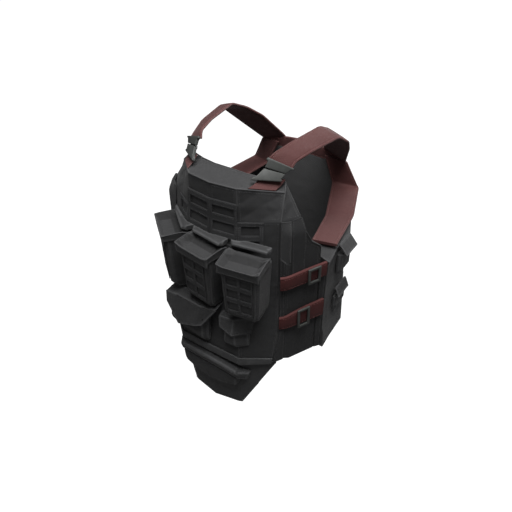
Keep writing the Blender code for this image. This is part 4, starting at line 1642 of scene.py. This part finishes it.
FRONT_LAP = Lap("front", SPACER, 0.3, False, (
    ((0.1310, -0.1470, 0.1520), (0.1425, -0.1225, 0.1500)),
    ((0.1330, -0.1455, 0.1780), (0.1425, -0.1225, 0.1780)),
    ((0.1372, -0.1375, 0.2250), (0.1425, -0.1225, 0.2250)),
    ((0.1325, -0.1270, 0.3290), (0.1425, -0.1225, 0.3290)),
    ((0.1305, -0.1245, 0.4260), (0.1425, -0.1225, 0.4180))))
REAR_LAP = Lap("rear", SPACER, 0.3, False, (
    ((0.1795, -0.0510, 0.1465), (0.1880, -0.0395, 0.1470)),
    ((0.1795, -0.0510, 0.3850), (0.1880, -0.0395, 0.3850))))
TOP_LAP = Lap("top", SPACER, 0.3, False, (
    ((0.1400, -0.0925, 0.3950), (0.1545, -0.1035, 0.3950)),
    ((0.1470, -0.0890, 0.4700), (0.1560, -0.1010, 0.4700)),
    ((0.1478, -0.0885, 0.4870), (0.1600, -0.0945, 0.4870)),
    ((0.1470, -0.0890, 0.5070), (0.1495, -0.0890, 0.5070))))
GUSSET = Lap("gusset", LIT_CANVAS, 0.2, True, (
    ((0.1290, -0.1235, 0.4180), (0.1484, -0.1148, 0.4180)),
    ((0.1278, -0.1222, 0.4500), (0.1482, -0.1155, 0.4500)),
    ((0.1268, -0.1208, 0.4860), (0.1480, -0.1160, 0.4860)),
    ((0.1262, -0.1200, 0.5050), (0.1405, -0.1060, 0.5050))))
WING = Lap("wing", SPACER, 0.1, True, (
    ((0.1500, -0.1140, 0.3850), (0.1640, -0.0880, 0.3850)),
    ((0.1484, -0.1148, 0.4200), (0.1640, -0.0880, 0.4200)),
    ((0.1482, -0.1155, 0.4550), (0.1640, -0.0880, 0.4600)),
    ((0.1480, -0.1160, 0.4860), (0.1632, -0.0900, 0.4870)),
    ((0.1405, -0.1060, 0.5060), (0.1510, -0.0860, 0.5080))))


@dataclass(frozen=True)
class SideStrap:
    """A side strap's level, how far it rises to the back, half its width, and how far it widens."""

    name: str
    level: float
    rise: float
    half: float
    widen: float


@dataclass
class SideGuard(SubAssembly):
    """The padded panel at one side, with its two straps and slider buckles.

    Each place on the route of both straps is x, y, the share of a strap's rise and that of its widening.
    The slot is what the sliders leave for a strap, which fills it but for a little slack.
    """

    side: Side
    panel: Padding = Padding(voxel=0.0024, cap=0.0014, pressure=2.0, held=0.008, pucker=0.0006, inset=0.0001)
    bound_turn: float = 60.0
    binding: float = 0.0014
    stitch_inset: float = 0.006
    slider_round: float = 0.0011
    slot_thickness: float = 0.0085
    slack: float = 0.001
    lift: float = 0.0015
    route: tuple[tuple[float, float, float, float], ...] = (
        (0.1345, -0.1310, -0.2, -0.2), (0.1435, -0.1245, 0.0, 0.0), (0.1520, -0.1105, 0.6, 0.4),
        (0.1680, -0.0780, 0.9, 0.8), (0.1862, -0.0428, 1.0, 1.0))
    straps: tuple[SideStrap, ...] = (
        SideStrap("upper", 0.3725, 0.0035, 0.0170, 0.001), SideStrap("lower", 0.2660, 0.0055, 0.0175, 0.006))
    laps: tuple[Lap, ...] = (FRONT_LAP, REAR_LAP, TOP_LAP, GUSSET, WING)
    lap_thickness: float = 0.004
    # Painted shade on faces that look up: how strong it is on the laps, and where it starts and how far it
    # runs on the panel.
    lap_shade: float = 1.3
    panel_shade: tuple[float, float] = (0.3, 0.4)
    tab_corner: tuple[float, float] = (-0.143, -0.205)

    def build(self, shop: Workshop) -> None:
        """Makes the panel, straps, sliders and laps.

        Args:
            shop: the workshop.
        """
        shop.stuff("side_panel_" + self.side.label, SPACER, self.panel)
        for strap in self.straps:
            self._strap(shop, strap)
            slider = "side_slider_{}_{}".format(strap.name, self.side.label)
            shop.round_off(slider, PLASTIC, self.slider_round)
        for lap in self.laps:
            self._lap(shop, lap)

    def _strap(self, shop: Workshop, strap: SideStrap) -> None:
        """Makes a strap that runs through its slider.

        Args:
            shop: the workshop.
            strap: its sizes.
        """
        high, low = [], []
        for x, y, up, wide in self.route:
            level = strap.level + strap.rise * up
            high.append((x, y, level + strap.half + strap.widen * wide))
            low.append((x, y, level - strap.half - strap.widen * wide))
        node = "side_strap_{}_{}".format(strap.name, self.side.label)
        band = Strap(node + "_piece", node, tuple(high), tuple(low), self.slot_thickness - self.slack,
                     self.lift + 0.5 * self.slot_thickness, crown=0.0008, channel=0.005)
        band.build(shop, SHADED_SIDE_WEBBING, HARNESS_THREAD, self.side.sign)

    def _lap(self, shop: Workshop, lap: Lap) -> None:
        """Makes a lap, with painted shade where it looks up if it is marked shaded.

        Args:
            shop: the workshop.
            lap: its rungs and finish.
        """
        inner, outer = zip(*lap.rungs)
        strip = Strap.under("side_lap_{}_{}".format(lap.name, self.side.label), "", outer, inner,
                            self.lap_thickness, lap.sunk, crown=0.0, channel=0.003, groove=0.0)
        piece = strip.build(shop, lap.finish, THREAD, self.side.sign)
        if lap.shaded:
            shop.shade(piece, lambda normals: np.clip(self.lap_shade * normals[:, 2], 0.0, 1.0))

    def dress(self, shop: Workshop) -> None:
        """Paints shade on the panel's top, and adds binding round it and thread.

        Args:
            shop: the workshop.
        """
        node = "side_panel_" + self.side.label
        pad = shop.pads[node]
        least, span = self.panel_shade
        shop.shade(pad.piece, lambda normals: np.clip((normals[:, 2] - least) / span, 0.0, 1.0))
        edges = [line for line in pad.edges(self.bound_turn) if not self._on_tab(line)]
        shop.pipe("side_binding_" + self.side.label, edges, self.binding, SPACER)
        shop.sew("side_stitching_" + self.side.label, THREAD, shop.pad_stitches(node, self.stitch_inset))

    def _on_tab(self, line: Seam) -> bool:
        """Whether a seam is on the front corner that the wing covers."""
        middle = 0.5 * (line.start + line.end)
        return middle.y < self.tab_corner[0] and middle.z > self.tab_corner[1]


@dataclass
class BackAssembly(SubAssembly):
    """The back plate bag, the padded wraps and the pouches on them."""

    bag: Padding = Padding(voxel=0.0034, cap=0.0030, pressure=2.4, held=0.010, pucker=0.0008)
    wrap: Padding = Padding(voxel=0.0028, cap=0.0022, pressure=2.4, held=0.009, pucker=0.0007)
    pouch: Padding = Padding(voxel=0.0020, cap=0.0016, pressure=3.0, held=0.005, pucker=0.0004, inset=0.0001)
    lid: Padding = Padding(voxel=0.0012, cap=0.0006, pressure=1.5, held=0.003, pucker=0.0003, fill=0.3)
    levels: tuple[str, ...] = ("upper", "lower")
    bag_turn: float = 40.0
    bag_faces: FaceTest = facing(BACK, 0.3)
    bag_piping: float = 0.0016
    bag_sewn_turn: float = 10.0
    lined_faces: FaceTest = facing(FRONT, 0.45)
    wrap_turn: float = 48.0
    wrap_piping: float = 0.0014
    lid_turn: float = 60.0
    lid_outward: float = 0.3
    lid_binding: float = 0.0010
    bag_inset: float = 0.006
    wrap_inset: float = 0.006
    lid_inset: float = 0.0035
    pouch_inset: float = 0.0040
    lap_thickness: float = 0.006
    lap_bag: tuple[Point, ...] = (
        (0.1080, 0.1800, 0.1665), (0.1080, 0.1800, 0.3300), (0.1020, 0.1830, 0.4150))
    lap_wrap: tuple[Point, ...] = (
        (0.1185, 0.1790, 0.1675), (0.1185, 0.1790, 0.3300), (0.1150, 0.1790, 0.4150))

    def build(self, shop: Workshop) -> None:
        """Makes the bag, the wraps and the pouches, and the laps between bag and wraps.

        Args:
            shop: the workshop.
        """
        shop.stuff("back_bag", CANVAS, self.bag)
        for side in Side:
            lap = Strap.under("back_lap_" + side.label, "", self.lap_bag, self.lap_wrap, self.lap_thickness,
                              depth=0.0, crown=0.0, channel=0.003, groove=0.0)
            lap.build(shop, SPACER, THREAD, side.sign)
            shop.stuff("back_wrap_" + side.label, CANVAS, self.wrap)
            for level in self.levels:
                shop.stuff("back_pouch_{}_{}".format(level, side.label), CANVAS, self.pouch)
                shop.stuff("back_flap_{}_{}".format(level, side.label), CANVAS, self.lid)

    def dress(self, shop: Workshop) -> None:
        """Adds the lining, whose lighter colour is painted light, and piping and thread to all of them.

        Args:
            shop: the workshop.
        """
        shop.line("back_bag", self.lined_faces)
        edges = shop.pads["back_bag"].edges(self.bag_turn, self.bag_faces)
        shop.pipe("back_bag_piping", edges, self.bag_piping)
        stitches = shop.pad_stitches("back_bag", self.bag_inset, least=self.bag_sewn_turn)
        shop.sew("back_bag_stitching", THREAD, stitches)
        for side in Side:
            wrap = "back_wrap_" + side.label
            edges = shop.pads[wrap].edges(self.wrap_turn)
            shop.pipe("back_wrap_piping_" + side.label, edges, self.wrap_piping)
            stitches = shop.pad_stitches(wrap, self.wrap_inset)
            outward = facing(Vector((side.sign, 0.0, 0.0)), self.lid_outward)
            for level in self.levels:
                lid = "back_flap_{}_{}".format(level, side.label)
                pouch = "back_pouch_{}_{}".format(level, side.label)
                lip = shop.pads[lid].edges(self.lid_turn, outward)
                shop.pipe("back_flap_binding_{}_{}".format(level, side.label), lip, self.lid_binding)
                stitches += shop.pad_stitches(lid, self.lid_inset)
                stitches += shop.pad_stitches(pouch, self.pouch_inset)
            shop.sew("back_wrap_stitching_" + side.label, THREAD, stitches)


@dataclass
class Harness(SubAssembly):
    """Strap bases, shoulder buckles, shoulder straps, under-arm bands and the back yoke."""

    strap_thickness: float = 0.005
    neck: tuple[Point, ...] = (
        (0.0772, -0.0908, 0.6090), (0.0785, -0.0880, 0.6120), (0.0840, -0.0800, 0.6210),
        (0.0920, -0.0350, 0.6260), (0.1030, 0.0540, 0.6260), (0.0985, 0.1050, 0.6005),
        (0.0790, 0.1380, 0.5740), (0.0520, 0.1905, 0.5125), (0.0490, 0.1965, 0.5020))
    arm: tuple[Point, ...] = (
        (0.1188, -0.0722, 0.5925), (0.1195, -0.0700, 0.5950), (0.1190, -0.0600, 0.6010),
        (0.1300, -0.0200, 0.6080), (0.1450, 0.0650, 0.6080), (0.1550, 0.0900, 0.5910),
        (0.1430, 0.1250, 0.5570), (0.1100, 0.1885, 0.4925), (0.1080, 0.1950, 0.4835))
    band_thickness: float = 0.006
    band_high: tuple[Point, ...] = (
        (0.0600, 0.1800, 0.4960), (0.0860, 0.1755, 0.4330), (0.1240, 0.0720, 0.4090),
        (0.1490, -0.0360, 0.4200))
    band_low: tuple[Point, ...] = (
        (0.1125, 0.1900, 0.4890), (0.1420, 0.2020, 0.4240), (0.1760, 0.1080, 0.4085),
        (0.1950, -0.0120, 0.4110))
    base_thickness: float = 0.0025
    base_neck: tuple[Point, ...] = (
        (0.0695, -0.1450, 0.5725), (0.0735, -0.1225, 0.5745), (0.0725, -0.1110, 0.5845))
    base_arm: tuple[Point, ...] = (
        (0.1060, -0.1085, 0.5618), (0.1095, -0.0935, 0.5660), (0.1120, -0.0840, 0.5745))
    buckle_round: float = 0.0014
    tongue_thickness: float = 0.004
    tongue_neck: tuple[Point, ...] = (
        (0.0770, -0.1075, 0.5935), (0.0795, -0.1025, 0.5975))
    tongue_arm: tuple[Point, ...] = (
        (0.1075, -0.0885, 0.5838), (0.1098, -0.0840, 0.5870))
    yoke_low: tuple[Point, ...] = (
        (-0.1100, 0.1885, 0.4790), (-0.0520, 0.1920, 0.4790), (0.0, 0.1940, 0.4790),
        (0.0520, 0.1920, 0.4790), (0.1100, 0.1885, 0.4790))
    yoke_high: tuple[Point, ...] = (
        (-0.1100, 0.1885, 0.4900), (-0.0520, 0.1920, 0.5085), (0.0, 0.1940, 0.5130),
        (0.0520, 0.1920, 0.5085), (0.1100, 0.1885, 0.4900))
    box: tuple[Point, ...] = (
        (0.0640, 0.1820, 0.5250), (0.1080, 0.1780, 0.5080), (0.1180, 0.1640, 0.5220),
        (0.0730, 0.1650, 0.5430))
    shoulders: dict[Side, bpy.types.Object] = field(default_factory=dict, init=False)

    def build(self, shop: Workshop) -> None:
        """Makes every piece of the harness.

        Args:
            shop: the workshop.
        """
        for side in Side:
            self.shoulders[side] = self._strap(
                shop, side, "shoulder_strap", self.neck, self.arm, self.strap_thickness)
            self._strap(shop, side, "underarm_band", self.band_high, self.band_low, self.band_thickness)
            self._strap(shop, side, "strap_base", self.base_neck, self.base_arm, self.base_thickness,
                        crown=0.0, groove=0.0003)
            shop.round_off("buckle_plate_" + side.label, PLASTIC, self.buckle_round)
            shop.round_off("buckle_socket_" + side.label, PLASTIC, self.buckle_round)
            tongue = Strap.under("buckle_tongue_" + side.label, "", self.tongue_neck, self.tongue_arm,
                                 self.tongue_thickness, depth=0.55, crown=0.0, groove=0.0)
            tongue.build(shop, PLASTIC, THREAD, side.sign)
        yoke = Strap.under("back_yoke_piece", "back_yoke", self.yoke_low, self.yoke_high, self.band_thickness)
        yoke.build(shop, HARNESS, HARNESS_THREAD)

    @staticmethod
    def _strap(shop: Workshop, side: Side, kind: str, first: Sequence[Point], second: Sequence[Point],
               thickness: float, **shape: float) -> bpy.types.Object:
        """Makes one side's strap of a kind, in place of its solid.

        Args:
            shop: the workshop.
            side: the wearer's side.
            kind: the solid's name without its side.
            first: the first edge.
            second: the second edge.
            thickness: its thickness.
            shape: its crown or groove, where they aren't the usual ones.

        Returns:
            The strap.
        """
        node = "{}_{}".format(kind, side.label)
        strap = Strap.under(node + "_piece", node, first, second, thickness, **shape)
        return strap.build(shop, HARNESS, HARNESS_THREAD, side.sign)

    def dress(self, shop: Workshop) -> None:
        """Sews crossed boxes where the shoulder straps meet the yoke.

        Args:
            shop: the workshop.
        """
        for side, piece in self.shoulders.items():
            corners = [mirrored(worn(place), side.sign) for place in self.box]
            shop.sew("strap_box_" + side.label, HARNESS_THREAD, shop.box_stitches(piece, corners))


# Studio --------------------------------------------------------------------------------------


@dataclass(frozen=True)
class Lamp:
    """One square soft light: where it is, where it points, its side and its power in watts."""

    name: str
    place: Point
    target: Point
    size: float
    power: float


@dataclass
class Studio:
    """Pale floor, soft lights and the camera."""

    lamps: tuple[Lamp, ...] = (
        Lamp("overhead", (0.44, -0.50, 2.6), (0.0, 0.0, -0.25), 1.8, 142.0),
        Lamp("behind", (0.5, 2.3, 0.7), (0.0, 0.1, -0.3), 1.6, 30.0))
    fill: float = 0.16
    floor_level: float = -1.25
    floor_size: float = 14.0
    floor_grey: float = 0.18
    position: Point = (0.55887, -0.91837, 0.48519)
    right: Point = (0.8348, 0.5506, 0.0)
    up: Point = (-0.3370, 0.5110, 0.7908)
    forward: Point = (-0.4354, 0.6602, -0.6121)
    lens: float = 35.0
    sensor: float = 32.0

    def build(self) -> None:
        """Sets up the floor, lights, sky and camera."""
        scene = bpy.context.scene
        scene.view_settings.view_transform = "Standard"
        scene.view_settings.look = "None"
        self._floor()
        for lamp in self.lamps:
            self._light(lamp)
        self._sky()
        self._camera()

    def _floor(self) -> None:
        """Lays the floor, which the camera sees paler than it shines back."""
        half = 0.5 * self.floor_size
        corners = [(x * half, y * half, self.floor_level) for x, y in ((-1, -1), (1, -1), (1, 1), (-1, 1))]
        mesh = bpy.data.meshes.new("floor")
        mesh.from_pydata(corners, [], [(0, 1, 2, 3)])
        plain = bpy.data.materials.new("pale_floor")
        plain.use_nodes = True
        tree = plain.node_tree
        shader = tree.nodes["Principled BSDF"]
        shader.inputs["Base Color"].default_value = (self.floor_grey, self.floor_grey, self.floor_grey, 1.0)
        shader.inputs["Roughness"].default_value = 0.95
        shader.inputs["Emission Color"].default_value = (1.0, 1.0, 1.0, 1.0)
        ray = tree.nodes.new("ShaderNodeLightPath")
        tree.links.new(ray.outputs["Is Camera Ray"], shader.inputs["Emission Strength"])
        mesh.materials.append(plain)
        put_in_scene("floor", mesh)

    def _sky(self) -> None:
        """Surrounds the scene with white that lights it only weakly."""
        world = bpy.data.worlds.new("soft_room")
        world.use_nodes = True
        tree = world.node_tree
        ray = tree.nodes.new("ShaderNodeLightPath")
        level = tree.nodes.new("ShaderNodeMapRange")
        level.inputs["To Min"].default_value = self.fill
        level.inputs["To Max"].default_value = 1.0
        tree.links.new(ray.outputs["Is Camera Ray"], level.inputs["Value"])
        sky = tree.nodes["Background"]
        sky.inputs["Color"].default_value = (1.0, 1.0, 1.0, 1.0)
        tree.links.new(level.outputs["Result"], sky.inputs["Strength"])
        bpy.context.scene.world = world

    @staticmethod
    def _light(lamp: Lamp) -> None:
        """Adds one square soft light.

        Args:
            lamp: its place and power.
        """
        data = bpy.data.lights.new(lamp.name, "AREA")
        data.size = lamp.size
        data.energy = lamp.power
        made = put_in_scene(lamp.name, data)
        made.location = lamp.place
        made.rotation_euler = (Vector(lamp.target) - Vector(lamp.place)).to_track_quat("-Z", "Y").to_euler()

    def _camera(self) -> None:
        """Adds the camera at the worn carrier's front left."""
        data = bpy.data.cameras.new("camera")
        data.lens = self.lens
        data.sensor_width = self.sensor
        data.sensor_fit = "HORIZONTAL"
        data.clip_start = 0.05
        data.clip_end = 60.0
        camera = put_in_scene("camera", data)
        turn = Matrix((self.right, self.up, tuple(-value for value in self.forward))).transposed()
        camera.matrix_world = Matrix.Translation(self.position) @ turn.to_4x4()
        bpy.context.scene.camera = camera


def main() -> None:
    """Builds the studio and every sub-assembly, blows up the pads and sews them."""
    logging.basicConfig(level=logging.INFO, format="%(message)s")
    Studio().build()
    shop = Workshop()
    parts: list[SubAssembly] = [FrontBag()]
    parts += [MagazinePouch(name) for name in ("right", "centre", "left")]
    parts += [LowPouch("utility", CANVAS), LowPouch("belly", LIT_CANVAS), LowerFlap()]
    parts += [SideGuard(side) for side in Side]
    parts += [BackAssembly(), Harness()]
    for part in parts:
        part.build(shop)
        LOG.info("built %s", type(part).__name__)
    shop.inflate()
    for part in parts:
        part.dress(shop)
        LOG.info("dressed %s", type(part).__name__)


if __name__ == "__main__":
    main()
